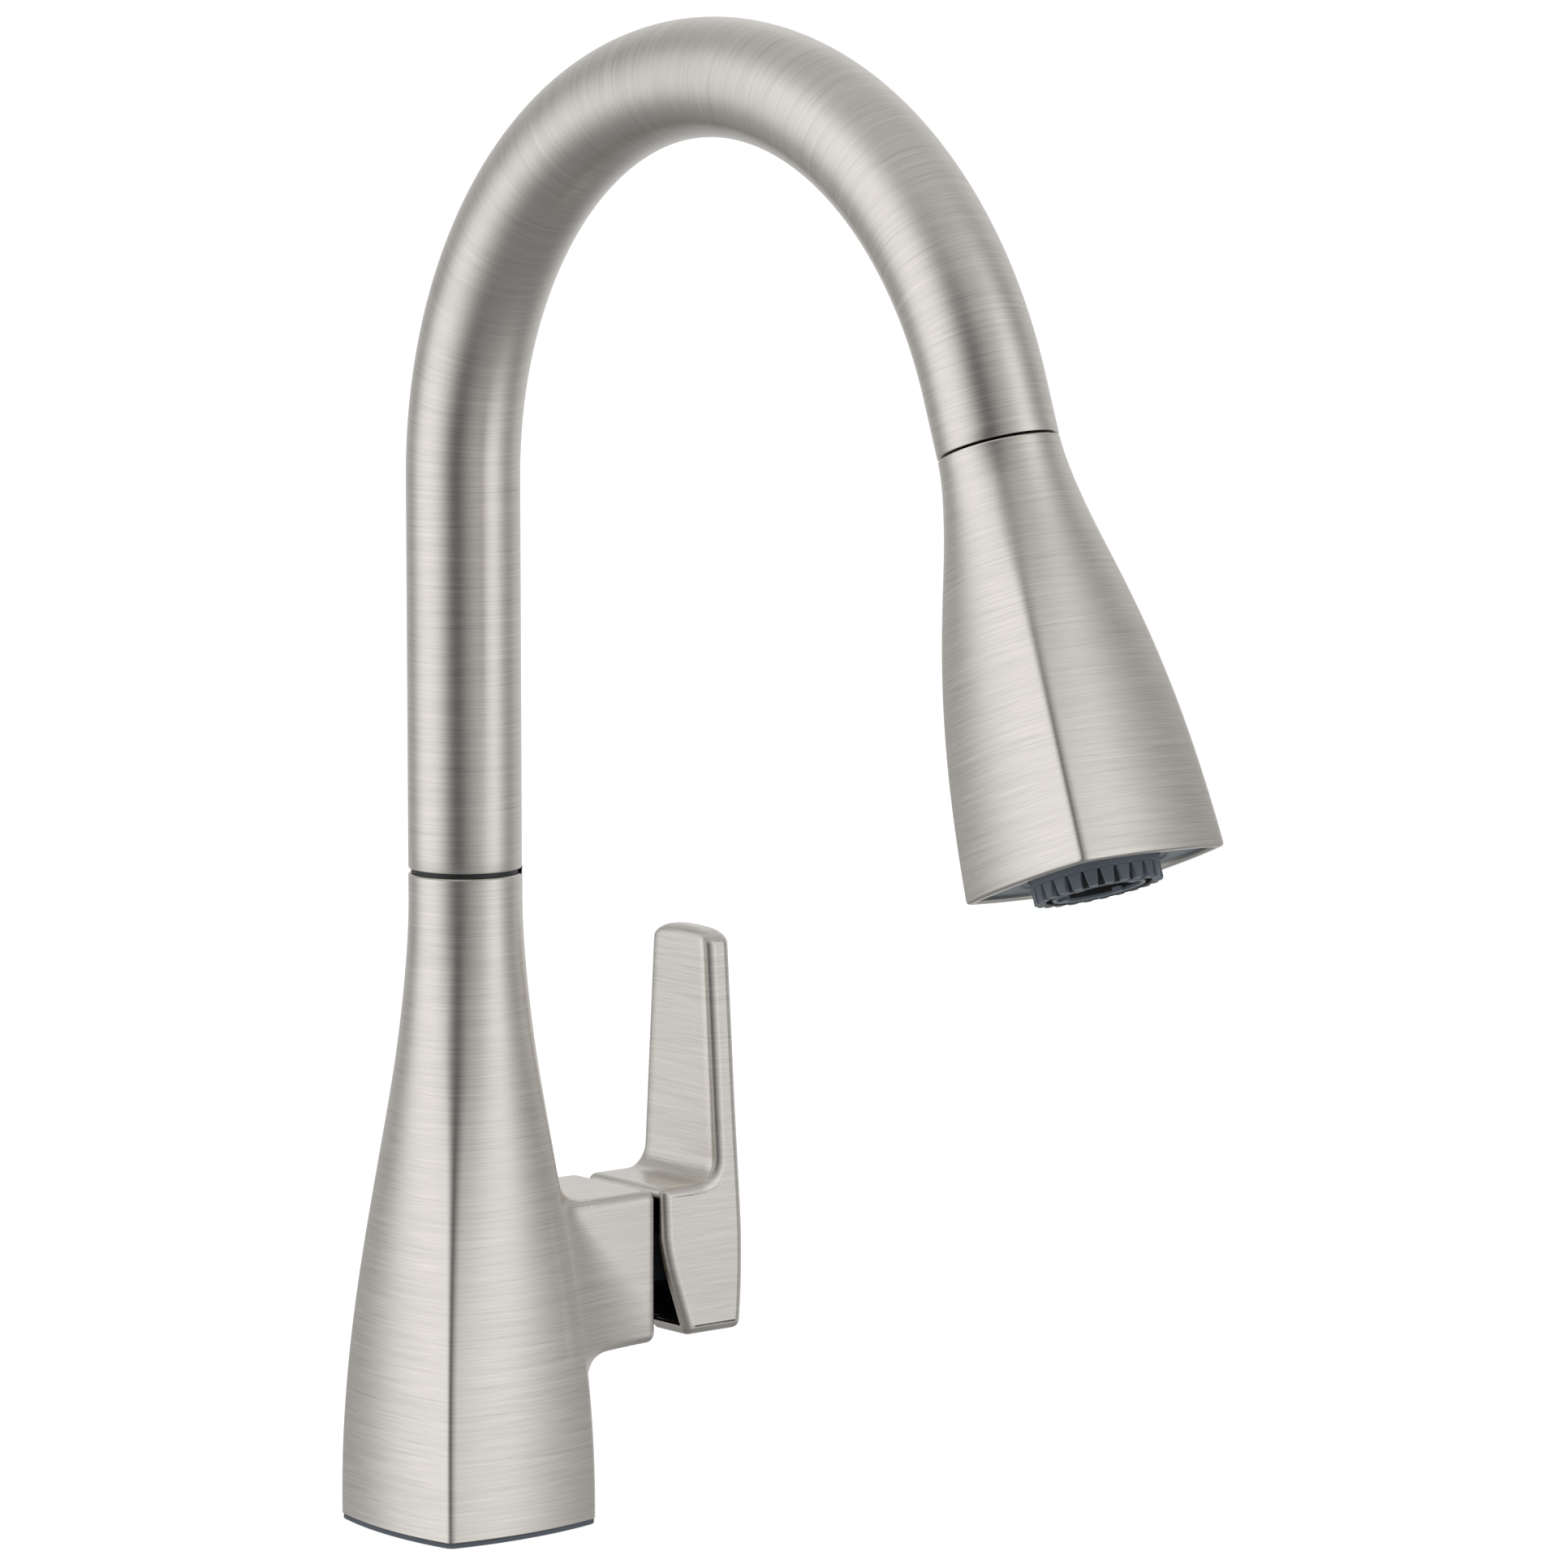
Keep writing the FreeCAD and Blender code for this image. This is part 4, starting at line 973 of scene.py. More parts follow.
    def outline(self, angles: Sequence[float], height: float, inset: float = 0.0) -> np.ndarray:
        """The plain body's outline at a height, one point per angle.

        Args:
            angles: Directions in radians.
            height: The height.
            inset: How far inside the outline.

        Returns:
            One point per row.
        """
        section = self.section(height)
        reach = [section.ray(angle) - inset for angle in angles]
        return np.array([(r * math.cos(a), r * math.sin(a), height) for r, a in zip(reach, angles)])

    def columns(self) -> list[float]:
        """Angles around the body, dense on the boss side.

        Returns:
            The angles in radians.
        """
        def around(angles: np.ndarray) -> np.ndarray:
            """The outline with its boss at the valve's height."""
            return self.pushed(self.outline(angles, self.valve_height))

        side = self.valve_side
        boss_side = even_steps(around, -side, side, self.boss_columns, self.bend_weight)[:-1]
        rest = flare_angles(self.side_columns)[self.side_columns:]
        return list(boss_side) + rest

    def rows(self) -> list[float]:
        """Heights up the body, dense along the boss.

        Returns:
            The heights from the foot up.
        """
        def up(heights: np.ndarray) -> np.ndarray:
            """The profile with its boss on the +X side."""
            return self.pushed(np.concatenate([self.outline([0.0], height) for height in heights]))

        low, high = self.bottom + self.lip, self.top - self.lip
        return list(even_steps(up, low, high, self.row_count, self.bend_weight))

    def build(self) -> bpy.types.Object:
        """Make the shell, its bore in the boss and its inside."""
        angles = self.columns()
        heights = self.rows()
        outside = np.concatenate([self.outline(angles, height) for height in heights])
        outside = self.pushed(outside).reshape(len(heights), len(angles), 3)
        piece = MeshPiece("body_skin")
        foot = [self.outline(angles, self.bottom, self.wall), self.outline(angles, self.bottom, self.lip)]
        round_in = self.outline(angles, self.top, self.lip)
        inner = [np.array(circle(angles, radius, height)) for radius, height in (
            (self.neck_bore + 0.2, self.top), (self.neck_bore, self.top - 0.3),
            (self.neck_bore, self.cavity_top),
        )]
        cavity = [self.outline(angles, height, self.wall)
                  for height in np.linspace(self.cavity_top - 6.0, self.bottom, 22)]
        rows = foot + list(outside) + [round_in] + inner + cavity
        piece.add_grid([row * MM for row in rows])
        self._bore(piece)
        made = piece.object(NICKEL, weld=2e-6, crease_degrees=17.0)
        seat(made, "base", "body_shell")
        return made

    def _bore(self, piece: MeshPiece) -> None:
        """Open the boss's end face to the bore's circle and line the bore.

        Args:
            piece: The shell, with its boss end still closed.
        """
        points = np.array(piece.points)
        radial = points - np.array([0.0, 0.0, self.valve_height * MM])
        reach = np.hypot(radial[:, 1], radial[:, 2])
        on_end = points[:, 0] > (self.boss_end - 0.02) * MM
        radius = self.boss_bore * MM
        kept = [face for face in piece.faces
                if not all(on_end[i] and reach[i] < radius for i in face)]
        used = {i for face in kept for i in face}
        for i in used:
            if on_end[i] and reach[i] < radius * 1.0001:
                y, z = radial[i, 1:] * radius / reach[i]
                piece.points[i] = (points[i, 0], y, z + self.valve_height * MM)
        piece.faces = kept
        floor = self.boss_end - self.bore_depth
        profile = ((self.boss_end + 0.01, self.boss_bore + 0.5), (self.boss_end - 0.3, self.boss_bore),
                   (floor, self.boss_bore), (floor, self.floor_bore))
        piece.add_grid(in_metres(
            [(depth, r * math.sin(a), r * math.cos(a) + self.valve_height) for a in even_angles(96)]
            for depth, r in profile
        ))


@dataclass(frozen=True)
class DeckParts:
    """What holds the faucet to the worktop, above and below it. Sizes in millimetres."""

    gasket_inset: float = 0.3
    gasket_bore: float = 17.2
    shank_radius: float = 16.5
    shank_bore: float = 14.75
    shank_top: float = 9.2
    shank_bottom: float = -62.0
    tip_radius: float = 15.9
    tip_top: float = -50.0
    thread_pitch: float = 1.5
    thread_depth: float = 0.55
    thread_top: float = -3.0
    steps_per_turn: int = 12
    nut_radius: float = 26.0
    nut_low: float = -47.0
    nut_high: float = -35.0
    notch_depth: float = 1.2
    screw_ring: float = 22.0
    screw_count: int = 3

    def shank(self) -> bpy.types.Object:
        """The threaded shank, whose thread is a helix of ridges inside its plain cylinder.

        Returns:
            The piece.
        """
        angles = even_angles(72)
        low, high = self.tip_top + 2.0, self.thread_top
        turns = int((high - low) / self.thread_pitch)
        rows = [circle(angles, radius, height) for radius, height in (
            (self.shank_bore, self.shank_bottom + 0.4), (self.shank_bore + 0.4, self.shank_bottom),
            (self.tip_radius - 0.5, self.shank_bottom), (self.tip_radius, self.shank_bottom + 0.5),
            (self.tip_radius, self.tip_top),
        )]
        for k in range(turns * self.steps_per_turn + 1):
            z = low + k * self.thread_pitch / self.steps_per_turn
            fade = smooth_step((z - low) / 2.0) * smooth_step((high - z) / 2.0)
            row = []
            for i, angle in enumerate(angles):
                phase = (z / self.thread_pitch - i / len(angles)) % 1.0
                radius = self.shank_radius - self.thread_depth * fade * abs(2.0 * phase - 1.0) - 0.02
                row.append((radius * math.cos(angle), radius * math.sin(angle), z))
            rows.append(row)
        rows += [circle(angles, radius, height) for radius, height in (
            (self.shank_radius, self.shank_top), (self.shank_bore, self.shank_top),
            (self.shank_bore, self.shank_bottom + 0.4),
        )]
        piece = MeshPiece("mounting_shank_skin")
        piece.add_grid(in_metres(rows))
        made = piece.object(BRASS, crease_degrees=25.0)
        seat(made, "base", "mounting_shank")
        return made

    def gasket(self, shell: BodyShell) -> bpy.types.Object:
        """The thin gasket between the body and the worktop, which shows as a dark line.

        Args:
            shell: The body, whose foot the gasket follows.

        Returns:
            The piece.
        """
        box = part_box("deck_gasket")
        low, high = box[0][2] / MM, box[1][2] / MM
        angles = flare_angles(36)
        piece = MeshPiece("deck_gasket_skin")
        rows = [
            circle(angles, self.gasket_bore, low), shell_row(shell, angles, self.gasket_inset + 0.25, low),
            shell_row(shell, angles, self.gasket_inset, low + 0.25),
            shell_row(shell, angles, self.gasket_inset, high - 0.1),
            shell_row(shell, angles, self.gasket_inset + 0.1, high),
            circle(angles, self.gasket_bore - 0.2, high), circle(angles, self.gasket_bore, low),
        ]
        piece.add_grid(in_metres(rows))
        made = piece.object(GREY_FOAM, crease_degrees=30.0)
        seat(made, "base", "deck_gasket")
        return made

    def nut(self) -> bpy.types.Object:
        """The round nut with six grip notches and its bore.

        Returns:
            The piece.
        """
        angles = even_angles(144)
        bore = self.shank_radius + 0.05
        low, high = self.nut_low, self.nut_high

        def notched(inset: float, height: float) -> list[Point]:
            """The outside with its grip notches, pulled in by an inset."""
            row = []
            for angle in angles:
                notch = self.notch_depth * smooth_step((math.cos(6.0 * angle) - 0.55) / 0.35)
                radius = self.nut_radius - notch - inset
                row.append((radius * math.cos(angle), radius * math.sin(angle), height))
            return row

        rows = [
            circle(angles, bore, low + 0.5), circle(angles, bore + 0.5, low), notched(0.8, low),
            notched(0.0, low + 0.8), notched(0.0, high - 0.8), notched(0.8, high),
            circle(angles, bore + 0.5, high), circle(angles, bore, high - 0.5),
            circle(angles, bore, low + 0.5),
        ]
        piece = MeshPiece("mounting_nut_skin")
        piece.add_grid(in_metres(rows))
        made = piece.object(NUT_BRASS, crease_degrees=35.0)
        seat(made, "base", "mounting_nut")
        return made

    def screws(self) -> bpy.types.Object:
        """The clamp screws: one slotted screw, repeated on its ring.

        Returns:
            The screws as one piece.
        """
        low, high = (corner[2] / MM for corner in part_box("nut_clamp_screws"))
        first = lathe("clamp_screw", STEEL, [
            (0.01, low, 0.0), (2.1, low, 0.35), (2.45, low + 0.5, 0.2), (2.45, high - 0.6, 0.2),
            (1.9, high, 0.1), (0.01, high, 0.0),
        ], count=32)
        slot = lathe("slot_cutter", STEEL, [
            (0.01, 0.0, 0.0), (1.0, 0.0, 0.0), (1.0, 1.4, 0.0), (0.01, 1.4, 0.0),
        ], count=4)
        squared = Matrix.Rotation(math.radians(45), 4, "Z")
        slot.data.transform(Matrix.Diagonal((4.0, 0.55, 1.0, 1.0)) @ squared)
        slot.data.transform(Matrix.Translation((0.0, 0.0, (low - 0.2) * MM)))
        first = cut(first, [slot])
        first.data.transform(Matrix.Translation((self.screw_ring * MM, 0.0, 0.0)))
        whole = Repeater("screws_on_ring", STEEL).around(first, self.screw_count)
        whole.name = "clamp_screws"
        dress(whole, STEEL, 30.0)
        seat(whole, "base", "nut_clamp_screws")
        return whole


def shell_row(shell: BodyShell, angles: Sequence[float], inset: float, height: float) -> list[Point]:
    """The body's foot outline, inset, at another height."""
    return [(x, y, height) for x, y, _ in shell.outline(angles, 0.0, inset)]


def cut(piece: bpy.types.Object, cutters: Sequence[bpy.types.Object]) -> bpy.types.Object:
    """Cut shapes out of a piece, and keep the result as its plain mesh.

    Args:
        piece: The piece, changed.
        cutters: Closed shapes, which are removed afterwards.

    Returns:
        The piece.
    """
    for cutter in cutters:
        modifier = piece.modifiers.new("cut", "BOOLEAN")
        modifier.operation = "DIFFERENCE"
        modifier.solver = "EXACT"
        modifier.object = cutter
    bpy.context.view_layer.update()
    evaluated = piece.evaluated_get(bpy.context.evaluated_depsgraph_get())
    baked = bpy.data.meshes.new_from_object(evaluated)
    piece.modifiers.clear()
    piece.data = baked
    for cutter in cutters:
        bpy.data.objects.remove(cutter)
    return piece


# --------------------------------------------------------------------------- spout and hose


@dataclass(frozen=True)
class Route:
    """The bend that the spout's tube follows, in the Y-Z plane. Sizes in millimetres."""

    bend_height: float = 266.06
    bend_radius: float = 102.66
    lean_degrees: float = 19.76
    tail: float = 14.5

    def lean(self) -> float:
        """The wand axis's angle from upright, in radians."""
        return math.radians(self.lean_degrees)

    def bend_end(self) -> Vector:
        """Where the bend turns into the straight tail, as (Y, Z)."""
        across = -self.bend_radius * (1.0 + math.cos(self.lean()))
        return Vector((across, self.bend_height + self.bend_radius * math.sin(self.lean())))

    def up(self) -> Vector:
        """The direction up the tail, as (Y, Z)."""
        return Vector((math.sin(self.lean()), math.cos(self.lean())))

    def seam(self) -> Vector:
        """The centre of the docking seam, as (Y, Z)."""
        return self.bend_end() - self.up() * self.tail

    def wand_frame(self) -> Matrix:
        """The matrix from the wand's own frame, whose Z runs up its axis from the seam."""
        seam = self.seam()
        return Matrix.Translation((0.0, seam.x * MM, seam.y * MM)) @ Matrix.Rotation(-self.lean(), 4, "X")


@dataclass(frozen=True)
class SpoutTube:
    """The gooseneck tube that swivels on the body. Sizes in millimetres."""

    route: Route = Route()
    radius: float = 14.3
    bore: float = 13.1
    bottom: float = 167.9
    edge: float = 0.35
    around: int = 96
    bend_steps: int = 120

    def stations(self) -> list[tuple[Vector, Vector, float]]:
        """Centre, direction and distance along the tube, as (Y, Z) vectors.

        Returns:
            The stations from the bottom up.
        """
        route = self.route
        out = []
        straight = route.bend_height - self.bottom
        for t in np.linspace(0.0, 1.0, 24):
            out.append((Vector((0.0, self.bottom + straight * t)), Vector((0.0, 1.0)), straight * t))
        sweep = math.pi - route.lean()
        for step in range(1, self.bend_steps + 1):
            turn = sweep * step / self.bend_steps
            centre = Vector((route.bend_radius * (math.cos(turn) - 1.0),
                             route.bend_height + route.bend_radius * math.sin(turn)))
            heading = Vector((-math.sin(turn), math.cos(turn)))
            out.append((centre, heading, straight + route.bend_radius * turn))
        end = route.bend_end()
        for t in (0.4, 0.8, 1.0):
            reach = route.tail * t
            out.append((end - route.up() * reach, -route.up(), straight + route.bend_radius * sweep + reach))
        return out

    def ring(self, station: tuple[Vector, Vector, float], radius: float, shift: float) -> tuple[list, list]:
        """One ring of points round the tube.

        Args:
            station: Centre, direction and distance along.
            radius: The ring's radius.
            shift: How far it is moved along the tube.

        Returns:
            The points, and their brush coordinates with the distance along last.
        """
        centre, heading, along = station
        centre = centre + heading * shift
        side = Vector((heading.y, -heading.x))
        points, brush = [], []
        for i in range(self.around):
            angle = 2.0 * math.pi * i / self.around
            x, out = radius * math.cos(angle), radius * math.sin(angle)
            points.append((x * MM, (centre.x - side.x * out) * MM, (centre.y - side.y * out) * MM))
            brush.append((x * MM, out * MM, (along + shift) * MM))
        return points, brush

    def build(self) -> bpy.types.Object:
        """Sweep the tube with thin rounded lips at both ends."""
        stations = self.stations()
        first, last = stations[0], stations[-1]
        rings = [self.ring(first, self.bore, 0.2), self.ring(first, self.bore + 0.2, 0.0),
                 self.ring(first, self.radius - self.edge, 0.0),
                 self.ring(first, self.radius - 0.1, 0.1), self.ring(first, self.radius, self.edge)]
        rings += [self.ring(station, self.radius, 0.0) for station in stations[1:-1]]
        rings += [self.ring(last, self.radius, -self.edge), self.ring(last, self.radius - 0.1, -0.1),
                  self.ring(last, self.radius - self.edge, 0.0),
                  self.ring(last, self.bore + 0.2, 0.0), self.ring(last, self.bore, -0.2)]
        rings += [self.ring(station, self.bore, 0.0) for station in stations[-2:0:-6]]
        rings.append(self.ring(first, self.bore, 0.2))
        piece = MeshPiece("spout_tube_skin")
        piece.add_grid([points for points, _ in rings], [brush for _, brush in rings])
        made = piece.object(NICKEL, crease_degrees=40.0)
        seat(made, "spout", "spout_tube")
        return made


@dataclass(frozen=True)
class PullHose:
    """The braided hose. Its run in the faucet stays with the spout, and a short end piece sits above the
    docking seam.
    """

    route: Route = Route()
    radius: float = 5.75
    bore: float = 4.0
    bottom: float = -66.0
    offset: float = 6.0
    ease_radius: float = 60.0
    stop: float = 29.5
    hold: float = 37.4
    free: float = 30.6
    travel: float = 180.0
    around: int = 28

    def path(self) -> list[tuple[Vector, Vector]]:
        """Centres and directions from the bottom to where the end piece begins, as (Y, Z) vectors.

        Returns:
            The stations, in order.
        """
        route = self.route
        outer = route.bend_radius + self.offset
        ease = math.sqrt(self.offset * (2.0 * route.bend_radius + self.offset - 2.0 * self.ease_radius))
        turn = math.asin(ease / (outer - self.ease_radius))
        far = math.pi - route.lean() - turn
        up = Vector((0.0, 1.0))
        out = [(Vector((0.0, z)), up) for z in np.linspace(self.bottom, route.bend_height - ease, 60)]
        bend_centre = Vector((-route.bend_radius, route.bend_height))

        def arc(middle: Vector, radius: float, low: float, high: float, steps: int) -> None:
            """Add points and headings along an arc, without its start."""
            for step in range(1, steps + 1):
                angle = low + (high - low) * step / steps
                spoke = Vector((math.cos(angle), math.sin(angle)))
                out.append((middle + spoke * radius, Vector((-math.sin(angle), math.cos(angle)))))

        def ease_centre(angle: float) -> Vector:
            """The centre of the arc that meets the outer run at an angle of the bend."""
            spoke = Vector((math.cos(angle), math.sin(angle)))
            return bend_centre + spoke * (outer - self.ease_radius)

        arc(ease_centre(turn), self.ease_radius, 0.0, turn, 10)
        arc(bend_centre, outer, turn, far, 110)
        arc(ease_centre(far), self.ease_radius, far, math.pi - route.lean(), 10)
        return out

    def tube(self, name: str, stations: Sequence[tuple[Vector, Vector, float]]) -> bpy.types.Object:
        """A tube with the along attribute.

        Args:
            name: The piece's name.
            stations: Centre, direction and the braid's length there, in millimetres.

        Returns:
            The piece.
        """
        rows, marks = [], []
        order = [(station, self.radius) for station in stations]
        order += [(station, self.bore) for station in reversed(stations)]
        order.append(order[0])
        for (centre, heading, along), radius in order:
            side = Vector((heading.y, -heading.x))
            row, mark = [], []
            for i in range(self.around):
                angle = 2.0 * math.pi * i / self.around
                x, out = radius * math.cos(angle), radius * math.sin(angle)
                row.append((x * MM, (centre.x - side.x * out) * MM, (centre.y - side.y * out) * MM))
                mark.append((x * MM, out * MM, along * MM))
            rows.append(row)
            marks.append(mark)
        piece = MeshPiece(name)
        piece.add_grid(rows, marks)
        made = piece.object(BRAID, weld=1e-9, crease_degrees=50.0)
        made.data.attributes["brush"].name = "along"
        return made

    def build(self) -> list[bpy.types.Object]:
        """Make the run that stays with the spout, and the short end piece."""
        path = self.path()
        stations, along = [], 0.0
        for index, (centre, heading) in enumerate(path):
            if index:
                along += (centre - path[index - 1][0]).length
            stations.append((centre, heading, along))
        run = self.tube("hose_run", stations)
        seat(run, "spout", "pull_down_hose")
        seam, up = self.route.seam(), self.route.up()
        high = (path[-1][0] - seam).dot(up)
        span = self.hold - self.free
        end = []
        for t in np.linspace(0.0, 1.0, 181):
            height = self.hold - span * t
            pay = self.travel * t * t * (3.0 - 2.0 * t)
            end.append((seam + up * height, -up, along + high - height + pay))
        end.insert(0, (seam + up * high, -up, along))
        end.append((seam + up * self.stop, -up, along + high - self.stop + self.travel))
        tip = self.tube("hose_end", end)
        held, freed = (seam + up * self.hold) * MM, (seam + up * self.free) * MM
        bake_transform(tip)
        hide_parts("pull_down_hose")
        return [run, tip]


# --------------------------------------------------------------------------- lever


@dataclass(frozen=True)
class Lever:
    """The lever: a hollow block with an upright blade, which tapers. Sizes in millimetres."""

    inner: float = 50.5
    outer: float = 76.4
    belly: float = 0.4
    bottom: float = 42.8
    top: float = 81.9
    valve_height: float = 62.2
    half_width: float = 17.0
    blade_inner: float = 68.6
    blade_top: float = 146.6
    blade_foot: float = 66.0
    blade_top_half: float = 11.7
    crown: float = 1.0
    web: float = 6.0
    corner: float = 2.0
    fillet: float = 2.6
    blade_corner: float = 3.2
    shoulder: float = 3.6
    foot_round: float = 2.0
    wall: float = 2.5
    face: float = 73.6
    relief: tuple[tuple[float, float], ...] = ((50.5, 68.2), (52.1, 60.8), (57.9, 43.6))
    socket_half: float = 6.2
    socket_start: float = 53.0
    stem_half: float = 3.25
    screw_out: float = 58.5
    access_radius: float = 3.0
    across: int = 14

    def half_at(self, height: float) -> float:
        """Half of the lever's width at a height.

        Args:
            height: The height.

        Returns:
            Half the width.
        """
        share = max(0.0, (height - self.blade_foot) / (self.blade_top - self.blade_foot))
        eased = 1.06 * share * share / (share + 0.06)
        over = min(max(height - self.blade_top + self.shoulder, 0.0), self.shoulder)
        rounded = self.shoulder - math.sqrt(self.shoulder ** 2 - over ** 2)
        return self.half_width + (self.blade_top_half - self.half_width) * eased - rounded

    def left_side(self) -> list[tuple[float, float]]:
        """The side towards the body, from the bottom up, as (X, Z).

        Returns:
            The points.
        """
        low_out = self.relief[2][0]
        points = [(low_out + 1.6, self.bottom), (low_out + 0.9, self.bottom + 0.15),
                  (low_out + 0.35, self.bottom + 0.6), (low_out - 0.15, self.bottom + 1.4)]
        mid = Vector(self.relief[1])
        start, stop = Vector(self.relief[2]), Vector(self.relief[0])
        knee_in, knee_out = mid + (start - mid).normalized() * 4.0, mid + (stop - mid).normalized() * 4.0
        for t in np.linspace(0.15, 1.0, 16):
            point = start.lerp(knee_in, t)
            points.append((point.x, point.y))
        for t in np.linspace(0.1, 1.0, 9):
            bend = knee_in * (1 - t) ** 2 + mid * 2 * t * (1 - t) + knee_out * t ** 2
            points.append((bend.x, bend.y))
        points.append((stop.x, stop.y + 0.6))
        for z in np.linspace(stop.y + 2.0, self.top - self.corner, 10):
            points.append((self.inner, z))
        for turn in np.linspace(0.0, 0.5 * math.pi, 8)[1:]:
            points.append((self.inner + self.corner * (1 - math.cos(turn)),
                           self.top - self.corner * (1 - math.sin(turn))))
        web_start = self.blade_inner - self.web
        for x in np.linspace(self.inner + self.corner, web_start, 9)[1:]:
            points.append((x, self.top))
        for turn in np.linspace(0.0, 0.5 * math.pi, 15)[1:]:
            points.append((web_start + self.web * math.sin(turn), self.top + self.web * (1 - math.cos(turn))))
        for z in np.linspace(self.top + self.web, self.blade_top - self.blade_corner, 40)[1:]:
            points.append((self.blade_inner, z))
        for turn in np.linspace(0.0, 0.5 * math.pi, 9)[1:]:
            points.append((self.blade_inner + self.blade_corner * (1 - math.cos(turn)),
                           self.blade_top - self.blade_corner * (1 - math.sin(turn))))
        return points

    def right_side(self, left: Sequence[tuple[float, float]]) -> list[tuple[float, float]]:
        """The far side, with a slight belly, level with each point of the near side.

        Args:
            left: The near side's (X, Z) points from the bottom up.

        Returns:
            As many (X, Z) points.
        """
        levels = np.array([z for _, z in left])
        flat = np.flatnonzero(levels > self.top - self.corner - 1e-6)[0]
        end = np.flatnonzero(levels > self.top + 1e-6)[0]
        levels[flat:end] = np.linspace(levels[flat - 1], self.top, end - flat + 1)[1:]
        return [(self._far_side(z), float(z)) for z in levels]

    def _far_side(self, height: float) -> float:
        """X of the far side at a height, with its corners rounded.

        Args:
            height: The height.

        Returns:
            Its X.
        """
        low = min(1.0, (height - self.bottom) / self.foot_round)
        high = min(1.0, (self.blade_top - height) / self.blade_corner)
        rise = min(1.0, (height - self.bottom) / (self.valve_height - self.bottom))
        bow = 1.0 - (1.0 - rise) ** 2 - smooth_step((height - self.valve_height) / 45.0)
        corner = self.foot_round * (1.0 - math.sqrt(1.0 - (1.0 - low) ** 2))
        corner += self.blade_corner * (1.0 - math.sqrt(1.0 - (1.0 - high) ** 2))
        return self.outer + self.belly * bow - 0.5 * (1.0 - rise) ** 2 - corner

    def build(self) -> bpy.types.Object:
        """Make the lever: rounded shape, hollow and the screw's access hole."""
        left = self.left_side()
        right = self.right_side(left)
        piece = MeshPiece("lever_skin")
        columns = 8
        bottom_row = [Vector(left[0]).lerp(Vector(right[0]), i / columns) for i in range(columns + 1)]
        top_row = [Vector(left[-1]).lerp(Vector(right[-1]), i / columns) for i in range(columns + 1)]
        loop = bottom_row + [Vector(p) for p in right[1:-1]]
        loop += top_row[::-1] + [Vector(p) for p in left[-2:0:-1]]
        normals = self._normals(loop)
        rows = []
        for turn in np.linspace(0.5 * math.pi, 0.0, 6):
            rows.append(self._perimeter(loop, normals, turn, -1.0))
        flat = self.across
        near, far = rows[-1], self._perimeter(loop, normals, 0.0, 1.0)
        for step in range(1, flat):
            share = step / flat
            rows.append([Vector(a).lerp(Vector(b), share) for a, b in zip(near, far)])
        for turn in np.linspace(0.0, 0.5 * math.pi, 6):
            rows.append(self._perimeter(loop, normals, turn, 1.0))
        rows = [self._crowned(row) for row in rows]
        piece.add_grid(in_metres(rows))
        count = len(left)
        for sign, row in ((-1.0, rows[0]), (1.0, rows[-1])):
            self._cap(piece, row, count, columns, sign)
        made = piece.object(NICKEL, weld=5e-6, crease_degrees=32.0)
        cut(made, self._cutters(0.0))
        dress(made, NICKEL, 32.0)
        seat(made, "lever", "lever_handle")
        return made

    @staticmethod
    def _normals(loop: Sequence[Vector]) -> list[Vector]:
        """Outward normals of an anticlockwise loop of (X, Z) points.

        Args:
            loop: The points.

        Returns:
            One unit normal per point.
        """
        count = len(loop)
        out = []
        for i in range(count):
            back, ahead = loop[i - 1], loop[(i + 1) % count]
            heading = ahead - back
            if heading.length < 1e-9:
                heading = Vector((1.0, 0.0))
            heading.normalize()
            out.append(Vector((heading.y, -heading.x)))
        return out

    def _perimeter(self, loop: Sequence[Vector], normals: Sequence[Vector], turn: float,
                   sign: float) -> list[Point]:
        """The loop pulled in along the rounding between the edge and a flat face.

        Args:
            loop: The (X, Z) points.
            normals: Their outward normals.
            turn: 0 at the rim, a quarter turn at the flat face.
            sign: -1 for the -Y face, 1 for the +Y face.

        Returns:
            The (X, Y, Z) points.
        """
        pull = self.fillet * (1.0 - math.cos(turn))
        out = []
        for point, normal in zip(loop, normals):
            here = point - normal * pull
            reach = self.half_at(here.y) - self.fillet * (1.0 - math.sin(turn))
            out.append((here.x, sign * reach, here.y))
        return out

    def _crowned(self, row: Sequence[Point]) -> list[Point]:
        """Lower the blade's top towards its sides, so that it is slightly convex.

        Args:
            row: Points of the lever.

        Returns:
            The same points, lowered where they are near the top.
        """
        out = []
        for x, y, z in row:
            near_top = smooth_step((z - self.blade_top + 8.0) / 8.0)
            drop = self.crown * (y / self.blade_top_half) ** 2
            out.append((x, y, z - drop * near_top))
        return out

    def _cap(self, piece: MeshPiece, row: Sequence[Point], count: int, columns: int, sign: float) -> None:
        """Fill one flat face between its two sides.

        Args:
            piece: The piece.
            row: The face's boundary loop.
            count: Points up each side.
            columns: Quads across.
            sign: -1 for the -Y face, 1 for the +Y face.
        """
        right = [columns + k for k in range(count)]
        left = [0] + [len(row) - k for k in range(1, count - 1)] + [right[-1] + columns]
        grid = []
        for a, b in zip(left, right):
            start, stop = Vector(row[a]), Vector(row[b])
            line = [start.lerp(stop, i / columns) for i in range(columns + 1)]
            grid.append(line[::-1] if sign > 0 else line)
        piece.add_grid(in_metres(grid), around=False)

